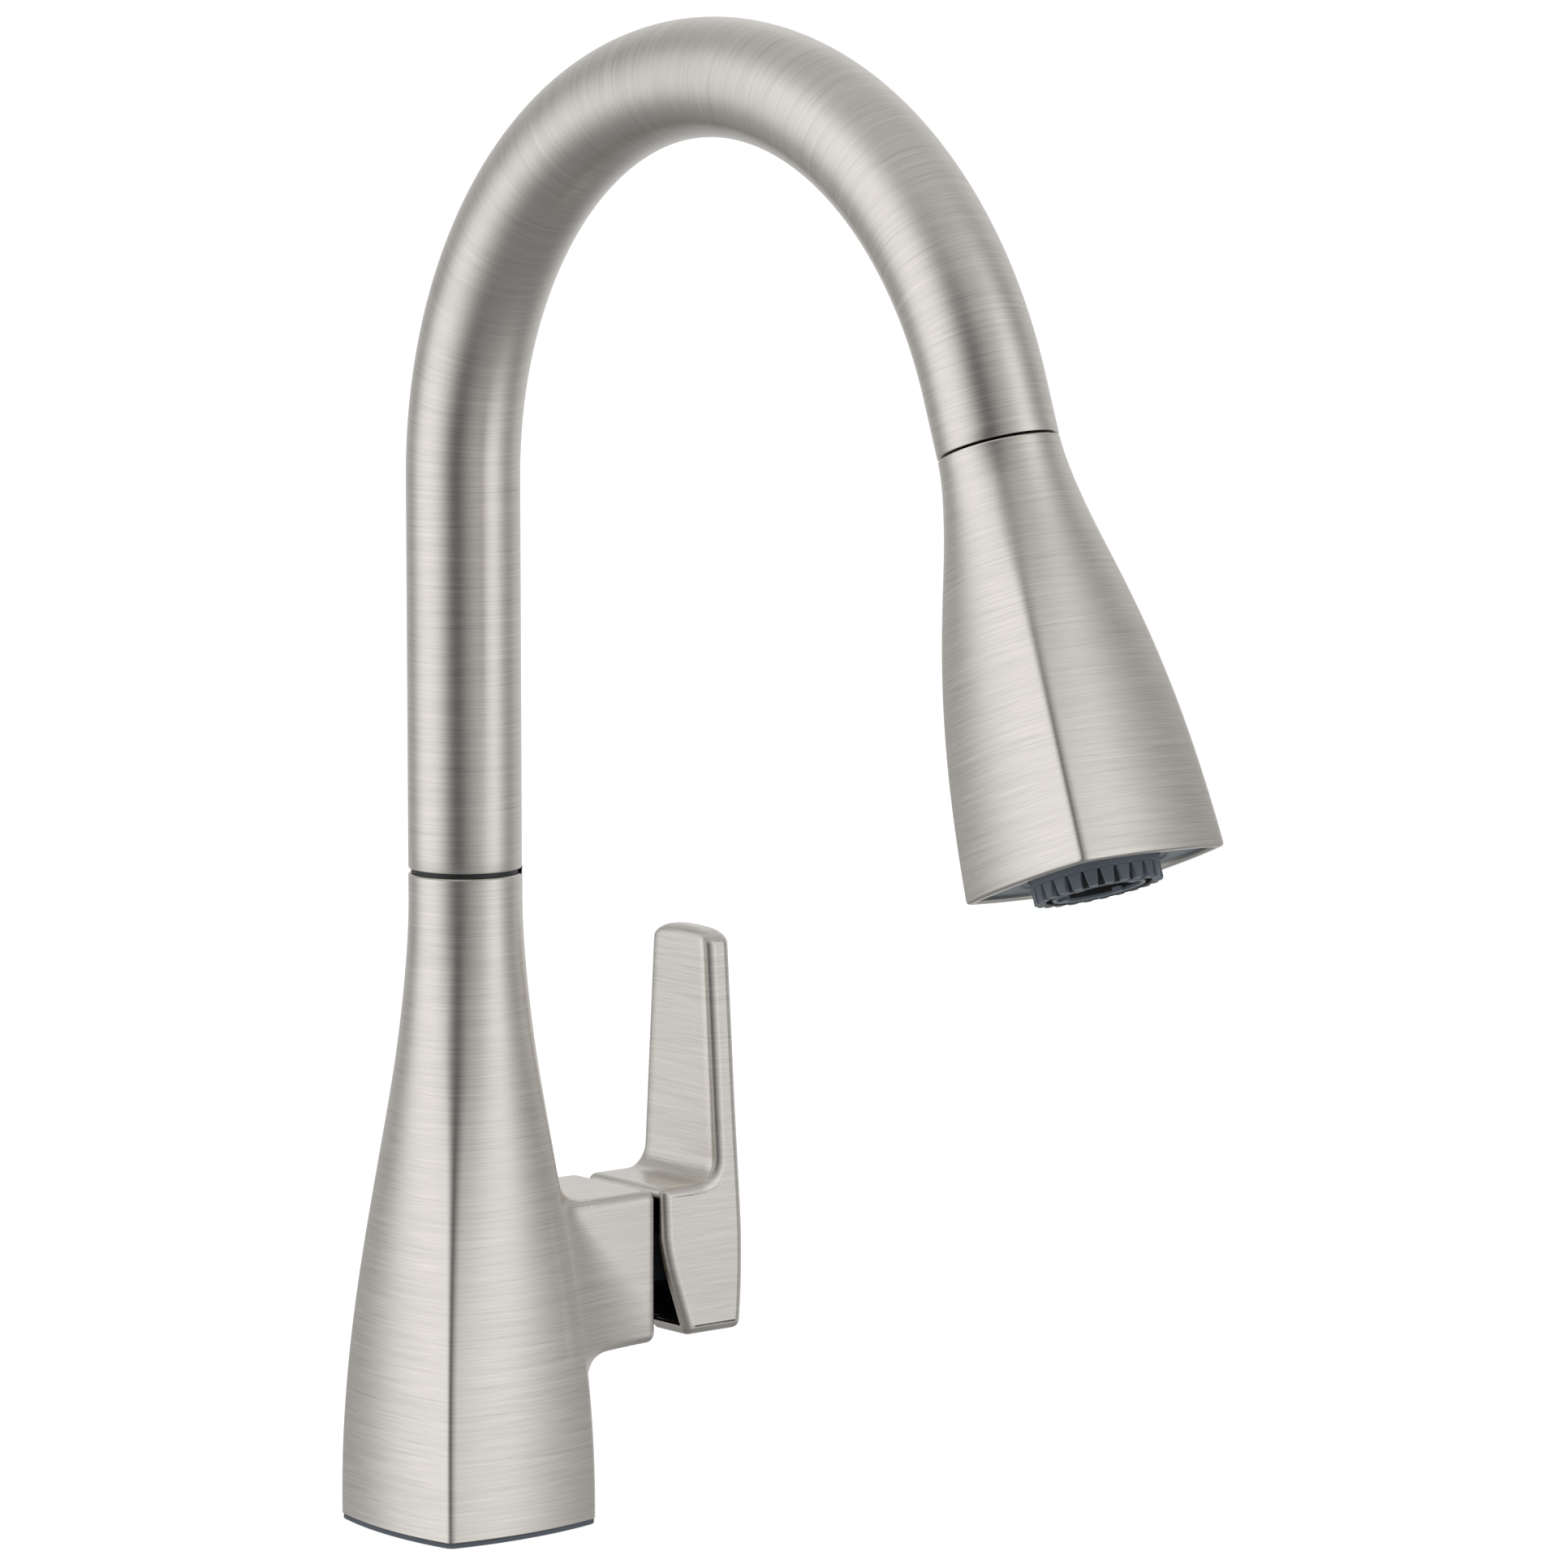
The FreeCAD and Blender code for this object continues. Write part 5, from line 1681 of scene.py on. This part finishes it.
    def _cutters(self, shrink: float) -> list[bpy.types.Object]:
        """The shapes that hollow the block and open the screw's access hole.

        Args:
            shrink: How much smaller the hollow is on every side.
        """
        deep = self.wall + shrink
        box = cutter_box("block_hollow", (self.inner - 3.0, -self.half_width + deep, self.bottom + deep),
                         (self.face - shrink, self.half_width - deep, self.top - deep))
        hole = lathe("access_hole", NICKEL, [
            (0.01, self.bottom - 1.0, 0.0), (self.access_radius - shrink, self.bottom - 1.0, 0.0),
            (self.access_radius - shrink, self.bottom + self.wall + 1.0, 0.0),
            (0.01, self.bottom + self.wall + 1.0, 0.0),
        ], count=40)
        hole.data.transform(Matrix.Translation((self.screw_out * MM, 0.0, 0.0)))
        return [box, hole]

    def liner(self) -> bpy.types.Object:
        """The block's unplated inside, painted near-black as the shade in the hollow, with the square post
        that holds the stem.

        Returns:
            The piece.
        """
        deep = self.wall - 0.02
        low_out = self.relief[2][0]
        skin = cutter_box("liner", (low_out + 1.2, -self.half_width + deep, self.bottom + deep),
                          (self.face + 0.02, self.half_width - deep, self.top - deep))
        cut(skin, self._cutters(0.35))
        half, mid = self.socket_half, self.valve_height
        post = cutter_box("post", (self.socket_start, -half, mid - half), (self.face, half, mid + half))
        stem = cutter_box("stem_way", (self.socket_start - 1.0, -self.stem_half, mid - self.stem_half),
                          (63.2, self.stem_half, mid + self.stem_half))
        screw = lathe("screw_way", NICKEL, [
            (0.01, mid - half - 1.0, 0.0), (2.45, mid - half - 1.0, 0.0), (2.45, mid, 0.0), (0.01, mid, 0.0),
        ], count=32)
        screw.data.transform(Matrix.Translation((self.screw_out * MM, 0.0, 0.0)))
        cut(post, [stem, screw])
        # The liner and the post take the near-black finish as painted shade inside the hollow block.
        made = joined("lever_shade_liner", [skin, post], SHADE_LINER_FINISH, 32.0)
        seat(made, "lever", "lever_handle")
        return made


def cutter_box(name: str, low: Point, high: Point) -> bpy.types.Object:
    """A plain box in millimetres to cut or join with, with a brush attribute.

    Args:
        name: Its name.
        low: Its lowest corner.
        high: Its highest corner.

    Returns:
        The box.
    """
    corners = [(low[0], low[1]), (high[0], low[1]), (high[0], high[1]), (low[0], high[1])]
    piece = MeshPiece(name)
    rows = [[(x * MM, y * MM, z * MM) for x, y in corners] for z in (low[2], high[2])]
    piece.add_grid(rows)
    piece.faces.append((0, 3, 2, 1))
    piece.faces.append((4, 5, 6, 7))
    return piece.object(NICKEL)


# --------------------------------------------------------------------------- spray head


@dataclass(frozen=True)
class WandShell:
    """The spray head's shell: round at the seam, square and wide at the outlet. Sizes in millimetres."""

    seam_gap: float = 0.5
    length: float = 101.2
    neck: BulgedSquare = BulgedSquare(10.112, 4.188)
    end_bulge: float = 2.85
    wall: float = 2.6
    throat: float = 9.4

    def section(self, depth: float) -> BulgedSquare:
        """The outside section at a depth below the seam.

        Args:
            depth: The depth in millimetres.

        Returns:
            The section.
        """
        half = self._half(depth)
        share = (half - self.neck.half) / (self._half(self.length) - self.neck.half)
        return BulgedSquare(half, self.neck.bulge + (self.end_bulge - self.neck.bulge) * share)

    def _half(self, depth: float) -> float:
        """Half of the section's side at a depth."""
        return self.neck.half + 6.0 * (1.0 - math.cos(math.pi * depth / (57.0 + 0.6 * depth)))

    def row(self, angles: Sequence[float], depth: float, inset: float = 0.0) -> list[Point]:
        """Points around the shell at a depth.

        Args:
            angles: Directions in radians.
            depth: The depth below the seam.
            inset: How far inside the outline.

        Returns:
            The points, in metres in the wand's own frame.
        """
        section = self.section(depth)
        reach = [section.ray(angle) - inset for angle in angles]
        return [(r * math.cos(a) * MM, r * math.sin(a) * MM, -depth * MM) for r, a in zip(reach, angles)]

    def circle(self, angles: Sequence[float], depth: float, radius: float) -> list[Point]:
        """A circle at a depth."""
        return [(radius * math.cos(a) * MM, radius * math.sin(a) * MM, -depth * MM) for a in angles]

    def build(self, route: Route) -> bpy.types.Object:
        """Make the shell with its rounded rim and its inside.

        Args:
            route: The bend that the spray head hangs from.

        Returns:
            The piece.
        """
        angles = flare_angles(40)
        end = self.length
        rows = [self.row(angles, depth, self.wall) for depth in np.linspace(14.0, end - 0.7, 24)]
        rows += [self.row(angles, end - 0.7 + 0.7 * math.sin(t), self.wall - 0.7 * (1 - math.cos(t)))
                 for t in np.linspace(0.3, 0.5 * math.pi, 4)]
        rows += [self.row(angles, end - 0.9 * (1 - math.cos(t)), 0.9 * (1 - math.sin(t)))
                 for t in np.linspace(0.0, 0.5 * math.pi, 6)]
        rows += [self.row(angles, depth) for depth in np.linspace(end - 1.4, self.seam_gap + 0.4, 110)]
        rows += [self.row(angles, self.seam_gap + 0.1, 0.1), self.row(angles, self.seam_gap, 0.4),
                 self.circle(angles, self.seam_gap, self.throat), self.circle(angles, 14.0, self.throat),
                 rows[0]]
        piece = MeshPiece("wand_skin")
        piece.add_grid(rows)
        made = turned(route.wand_frame(), piece.object(NICKEL, weld=1e-6, crease_degrees=17.0))
        seat(made, "wand", "wand_shell")
        return made

    def bezel(self, route: Route) -> bpy.types.Object:
        """The recessed plate that closes the shell around the spray parts.

        Args:
            route: The bend that the spray head hangs from.

        Returns:
            The piece.
        """
        angles = flare_angles(40)
        depth, thick = self.length - 1.2, 2.0
        gap = self.wall + 0.12
        rows = [self.row(angles, depth - thick, gap), self.row(angles, depth - thick, gap),
                self.row(angles, depth - 0.4, gap), self.row(angles, depth, gap + 0.4)]
        rows += [self.circle(angles, depth, 17.3), self.circle(angles, depth - 0.5, 16.8),
                 self.circle(angles, depth - 0.5, 15.6), self.circle(angles, depth - 0.8, 15.3),
                 self.circle(angles, depth - thick, 15.3), rows[0]]
        piece = MeshPiece("bezel_skin")
        piece.add_grid(rows[::-1])
        made = turned(route.wand_frame(), piece.object(SLATE, crease_degrees=30.0))
        seat(made, "wand", "nozzle_bezel")
        return made


@dataclass(frozen=True)
class SprayEnd:
    """The toothed selector ring, the ring of spray holes and the aerator. Sizes in millimetres."""

    rim: float = -101.2
    reach: float = 3.9
    root: float = 13.5
    ring_radius: float = 15.0
    ring_bore: float = 12.4
    flange: float = 16.2
    flange_thick: float = 3.2
    base: float = 6.8
    teeth: int = 24
    tooth_half: float = 1.62
    tooth_tip_half: float = 1.0
    tooth_start: float = 0.2
    nozzles: int = 30

    def selector(self, route: Route) -> bpy.types.Object:
        """The ring with its teeth, and a black band at their root as painted shade between the teeth.

        Args:
            route: The bend that the spray head hangs from.

        Returns:
            The ring.
        """
        tip, top = self.rim - self.reach, self.rim + self.base
        foot = top - self.flange_thick
        # The black band at the teeth's root is painted shade: the slate ring there lies in shade, so the gaps
        # between teeth are drawn black.
        root_shade = lathe("selector_root_shade", BLACK, [
            (self.ring_bore, tip + 0.3, 0.0), (self.ring_bore + 0.3, tip, 0.1), (self.root - 0.1, tip, 0.15),
            (self.root, top - 0.2, 0.0), (self.ring_bore, top - 0.2, 0.2),
        ], count=144)
        tooth = self._tooth(self.rim - self.tooth_start, tip)
        teeth = Repeater("teeth_on_ring", SLATE).around(tooth, self.teeth)
        start = self.rim - self.tooth_start
        crown = lathe("selector_crown", SLATE, [
            (self.root - 0.3, start, 0.0), (self.ring_radius, start, 0.3), (self.ring_radius, foot, 0.0),
            (self.flange, foot, 0.2), (self.flange, top, 0.2), (self.root - 0.3, top, 0.0),
        ], count=144)
        whole = joined("selector_skin", [crown, teeth], SLATE, 28.0)
        for piece in (whole, root_shade):
            turned(route.wand_frame(), piece)
            seat(piece, "selector", "selector_ring")
        return whole

    def _tooth(self, foot: float, tip: float) -> bpy.types.Object:
        """One tapering tooth with chamfered edges, standing on the ring at +X.

        Args:
            foot: Height where it stands on the ring.
            tip: Height of its free end.

        Returns:
            The tooth.
        """
        piece = MeshPiece("tooth")
        low, out, soft = self.root - 0.4, self.ring_radius, 0.22
        rows = []
        for share, shrink in ((0.0, 0.18), (0.035, 0.0), (1.0, 0.0)):
            z = tip + (foot - tip) * share
            half = self.tooth_tip_half + (self.tooth_half - self.tooth_tip_half) * share - shrink
            far = out - shrink
            corners = [(low, -half), (far - soft, -half), (far, -half + soft), (far, half - soft),
                       (far - soft, half), (low, half)]
            rows.append([(x * MM, y * MM, z * MM) for x, y in corners])
        piece.add_grid(rows)
        piece.add_fan(rows[0][::-1], tuple(np.mean(rows[0], axis=0)))
        piece.add_fan(rows[-1], tuple(np.mean(rows[-1], axis=0)))
        return piece.object(SLATE)

    def spray_ring(self, route: Route) -> bpy.types.Object:
        """The face that carries the spray nozzles between the selector and the aerator.

        Args:
            route: The bend that the spray head hangs from.

        Returns:
            The piece.
        """
        box_low = self.rim - 2.6
        face = lathe("spray_band", BLACK, [
            (11.1, box_low, 0.2), (12.3, box_low, 0.2), (12.3, self.rim + 8.0, 0.0),
            (11.1, self.rim + 8.0, 0.0),
        ], count=120)
        nozzle = lathe("spray_nozzle", SLATE, [
            (0.16, box_low + 0.3, 0.0), (0.16, box_low - 0.45, 0.0), (0.32, box_low - 0.45, 0.1),
            (0.44, box_low + 0.3, 0.0),
        ], count=12)
        nozzle.data.transform(Matrix.Translation((11.7 * MM, 0.0, 0.0)))
        ring = Repeater("nozzles_on_ring", SLATE).around(nozzle, self.nozzles)
        whole = joined("spray_skin", [face, ring], BLACK, 30.0)
        turned(route.wand_frame(), whole)
        seat(whole, "wand", "spray_face")
        return whole

    def aerator(self, route: Route) -> bpy.types.Object:
        """The threaded insert with its thin lip and four key tabs.

        Args:
            route: The bend that the spray head hangs from.

        Returns:
            The visible piece.
        """
        low, high = span_in(route.wand_frame(), "aerator_insert")
        wall = lathe("aerator_wall", BLACK, [
            (9.5, low + 0.9, 0.3), (10.85, low + 0.7, 0.0), (10.85, high, 0.0), (9.5, high, 0.0),
        ], count=120)
        guide = lathe("stream_guide", BLACK, [
            (5.4, low + 2.6, 0.2), (6.0, low + 2.6, 0.2), (6.0, high - 4.0, 0.0), (5.4, high - 4.0, 0.0),
        ], count=72)
        inside = joined("aerator_inside", [wall, guide], BLACK, 30.0)
        lip = lathe("aerator_lip", SLATE, [
            (10.0, low + 0.3, 0.0), (10.3, low, 0.12), (10.75, low, 0.15), (10.9, low + 0.4, 0.0),
            (10.9, low + 1.4, 0.0), (10.0, low + 1.2, 0.0),
        ], count=120)
        tab = cutter_box("key_tab", (8.3, -1.1, low + 0.15), (10.3, 1.1, low + 1.3))
        tabs = Repeater("tabs_on_ring", SLATE).around(tab, 4, math.radians(20.0))
        whole = joined("aerator_skin", [lip, tabs], SLATE, 30.0)
        for piece in (whole, inside):
            turned(route.wand_frame(), piece)
            seat(piece, "wand", "aerator_insert")
        return whole

    def screen(self, route: Route) -> bpy.types.Object:
        """The woven screen in the aerator: wires in two directions, each wire repeated.

        Args:
            route: The bend that the spray head hangs from.

        Returns:
            The woven piece.
        """
        low, high = span_in(route.wand_frame(), "aerator_screen")
        radius, count, wire = 9.3, 15, 0.16
        middle = 0.5 * (low + high)
        strands = []
        for turn in (0.0, 0.5 * math.pi):
            for k in range(count):
                offset = radius * (2.0 * (k + 0.5) / count - 1.0)
                reach = math.sqrt(radius * radius - offset * offset)
                shape = cutter_box("wire", (offset - wire, -reach, middle - 0.4 - wire),
                                   (offset + wire, reach, middle - 0.4 + wire))
                shape.data.transform(Matrix.Rotation(turn, 4, "Z"))
                strands.append(shape)
        back = lathe("screen_back", BLACK, [
            (0.01, middle, 0.0), (9.4, middle, 0.0), (9.4, high, 0.1), (0.01, high, 0.0)], count=72)
        whole = joined("screen_skin", strands, STEEL, 30.0)
        for piece in (whole, back):
            turned(route.wand_frame(), piece)
            seat(piece, "wand", "aerator_screen")
        return whole


def span_in(frame_matrix: Matrix, node: str) -> tuple[float, float]:
    """The lowest and highest points of a CAD node along a frame's Z, in millimetres.

    Args:
        frame_matrix: The frame.
        node: The node's name.

    Returns:
        The two heights.
    """
    back = frame_matrix.inverted()
    heights = [(back @ vertex.co).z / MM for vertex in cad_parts[node].data.vertices]
    return min(heights), max(heights)


# --------------------------------------------------------------------------- stage


class Surround(Enum):
    """The two ends of the tent around the faucet."""

    SKY = "sky"
    GROUND = "ground"


@dataclass(frozen=True)
class Tent:
    """A soft light tent. Levels are radiances, and bearings are in degrees from the camera, left positive."""

    sides: tuple[tuple[float, float], ...] = (
        (-180.0, 0.78), (-126.0, 0.56), (-105.0, 0.33), (-88.0, 0.52), (-69.0, 1.02), (-54.0, 0.93),
        (-38.0, 0.60), (-22.0, 0.45), (-8.0, 0.32), (1.0, 0.18), (10.0, 0.08), (22.0, 0.15),
        (33.0, 0.42), (47.0, 0.80), (63.0, 1.02), (81.0, 1.05), (97.0, 0.94), (112.0, 0.55),
        (124.0, 0.38), (140.0, 0.46), (180.0, 0.78),
    )
    sky: float = 0.52
    ground: float = 0.24
    sky_start: float = 0.40
    sky_full: float = 0.97
    ground_start: float = 0.16
    ground_full: float = 0.9
    seen: float = 1.03

    def level(self, place: Surround) -> float:
        """The level straight up or straight down."""
        return self.sky if place is Surround.SKY else self.ground

    def build(self, camera_heading: float) -> None:
        """Make the world: white to the eye, and the tent in reflections.

        Args:
            camera_heading: The compass angle from the faucet to the camera, in radians from +X.
        """
        world = bpy.data.worlds.new("studio")
        world.use_nodes = True
        bench = NodeBench(world.node_tree)
        heading = bench.node("ShaderNodeTexCoord").outputs["Generated"]
        x, y, z = bench.split(heading)
        c, s = math.cos(camera_heading), math.sin(camera_heading)
        ahead, left = x * c + y * s, x * s - y * c
        turn = left.call("ARCTAN2", ahead) / (2.0 * math.pi) + 0.5
        stops = [((bearing + 180.0) / 360.0, (level, level, level, 1.0)) for bearing, level in self.sides]
        ramp = bench.node("ShaderNodeValToRGB", {"stops": stops}, {"Fac": turn})
        side = Signal(bench, ramp.outputs["Color"])
        above = self._share(bench, z, self.sky_start, self.sky_full)
        below = self._share(bench, z * -1.0, self.ground_start, self.ground_full)
        level = side + (self.level(Surround.SKY) - side) * above
        level = level + (self.level(Surround.GROUND) - level) * below
        seen = bench.node("ShaderNodeLightPath").outputs["Is Camera Ray"]
        white = bench.node("ShaderNodeBackground", inputs={"Color": WHITE, "Strength": self.seen})
        tent = bench.node("ShaderNodeBackground", inputs={"Color": WHITE, "Strength": level})
        both = bench.node("ShaderNodeMixShader", inputs={0: seen, 1: tent.outputs[0], 2: white.outputs[0]})
        bench.node("ShaderNodeOutputWorld", inputs={"Surface": both.outputs[0]})
        bpy.context.scene.world = world

    @staticmethod
    def _share(bench: NodeBench, height: Signal, low: float, high: float) -> Signal:
        """How far a height is between two levels, eased, from 0 to 1.

        Args:
            bench: The world's bench.
            height: The height to rate.
            low: Where the share starts to rise.
            high: Where it reaches 1.

        Returns:
            The share.
        """
        return bench.signal("ShaderNodeMapRange", 0, {"interpolation_type": "SMOOTHSTEP"}, {
            "Value": height, "From Min": low, "From Max": high, "To Min": 0.0, "To Max": 1.0,
        })


@dataclass(frozen=True)
class Studio:
    """Floor, light and camera. Lengths in metres, unless their names say otherwise."""

    camera_place: Point = (-1.1415, -1.5224, 0.4358)
    sight: tuple[float, float] = (0.6331, 0.7741)
    camera_pitch: float = 7.40
    lens_mm: float = 175.26
    film_mm: float = 36.0
    floor_size: float = 9.0
    floor_hole: float = 0.0176
    floor_glow: float = 0.86
    floor_drop: float = 0.0001
    floor_grey: Colour = (0.40, 0.40, 0.40, 1.0)
    lamp_size: float = 1.2
    lamp_watts: float = 3.0
    lamp_place: Point = (-0.3, -0.3, 1.6)
    lamp_aim: Point = (0.3, 0.2, -1.4)
    tent: Tent = Tent()

    def build(self) -> None:
        """Set up everything."""
        scene = bpy.context.scene
        scene.view_settings.view_transform = "Standard"
        scene.view_settings.look = "None"
        self.floor()
        self.tent.build(math.atan2(-self.sight[1], -self.sight[0]))
        self.lamp()
        self.camera()

    def camera(self) -> None:
        """The camera, level with no roll, that looks slightly down at the faucet."""
        across = Vector((self.sight[0], self.sight[1], 0.0)).normalized()
        pitch = math.radians(self.camera_pitch)
        forward = across * math.cos(pitch) - Vector((0.0, 0.0, 1.0)) * math.sin(pitch)
        data = bpy.data.cameras.new("camera")
        data.lens = self.lens_mm
        data.sensor_width = self.film_mm
        made = bpy.data.objects.new("camera", data)
        made.location = self.camera_place
        made.rotation_euler = forward.to_track_quat("-Z", "Y").to_euler()
        bpy.context.scene.collection.objects.link(made)
        bpy.context.scene.camera = made

    def floor(self) -> None:
        """A pale worktop plane with the hole that the shank goes through."""
        ring = even_angles(96)
        count = len(ring)
        reaches = (self.floor_hole, 0.1, 0.6, 0.5 * self.floor_size)
        points = [point for reach in reaches for point in circle(ring, reach, -self.floor_drop)]
        faces = []
        for j in range(len(reaches) - 1):
            for i in range(count):
                a, b = j * count + i, j * count + (i + 1) % count
                faces.append((a, a + count, b + count, b))
        mesh = bpy.data.meshes.new("floor")
        mesh.from_pydata(points, [], faces)
        made = bpy.data.objects.new("floor", mesh)
        bpy.context.scene.collection.objects.link(made)
        material = bpy.data.materials.new("pale_floor")
        material.use_nodes = True
        bench = NodeBench(material.node_tree)
        surface = bench.node("ShaderNodeBsdfPrincipled", inputs={
            "Base Color": self.floor_grey, "Roughness": 0.9, "Emission Color": WHITE,
            "Emission Strength": self.floor_glow,
        })
        bench.node("ShaderNodeOutputMaterial", inputs={"Surface": surface.outputs[0]})
        mesh.materials.append(material)
        made.visible_glossy = False

    def lamp(self) -> None:
        """One soft lamp overhead, for a faint shadow under the foot."""
        data = bpy.data.lights.new("overhead", "AREA")
        data.size = self.lamp_size
        data.energy = self.lamp_watts
        made = bpy.data.objects.new("overhead", data)
        made.location = self.lamp_place
        made.rotation_euler = Vector(self.lamp_aim).to_track_quat("-Z", "Y").to_euler()
        made.visible_camera = False
        made.visible_glossy = False
        bpy.context.scene.collection.objects.link(made)


# --------------------------------------------------------------------------- all together


def dress_cad() -> None:
    """Give the CAD nodes that stay in view their finishes."""
    for name, finish in CAD_FINISHES.items():
        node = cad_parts[name]
        node.data.materials.clear()
        node.data.materials.append(finish.material())


def report(piece: bpy.types.Object) -> None:
    """Log one finished piece."""
    LOG.info("%s: %d faces", piece.name, len(piece.data.polygons))


def main() -> None:
    """Build the faucet from the worktop up, then its stage."""
    logging.basicConfig(level=logging.INFO, format="%(name)s %(message)s")
    dress_cad()
    shell, deck, route = BodyShell(), DeckParts(), Route()
    report(shell.build())
    report(deck.gasket(shell))
    report(deck.shank())
    report(deck.nut())
    report(deck.screws())
    report(SpoutTube(route).build())
    for piece in PullHose(route).build():
        report(piece)
    report(Lever().build())
    report(Lever().liner())
    wand, spray = WandShell(), SprayEnd()
    report(wand.build(route))
    report(wand.bezel(route))
    report(spray.selector(route))
    report(spray.spray_ring(route))
    report(spray.aerator(route))
    report(spray.screen(route))
    Studio().build()


if __name__ == "__main__":
    main()
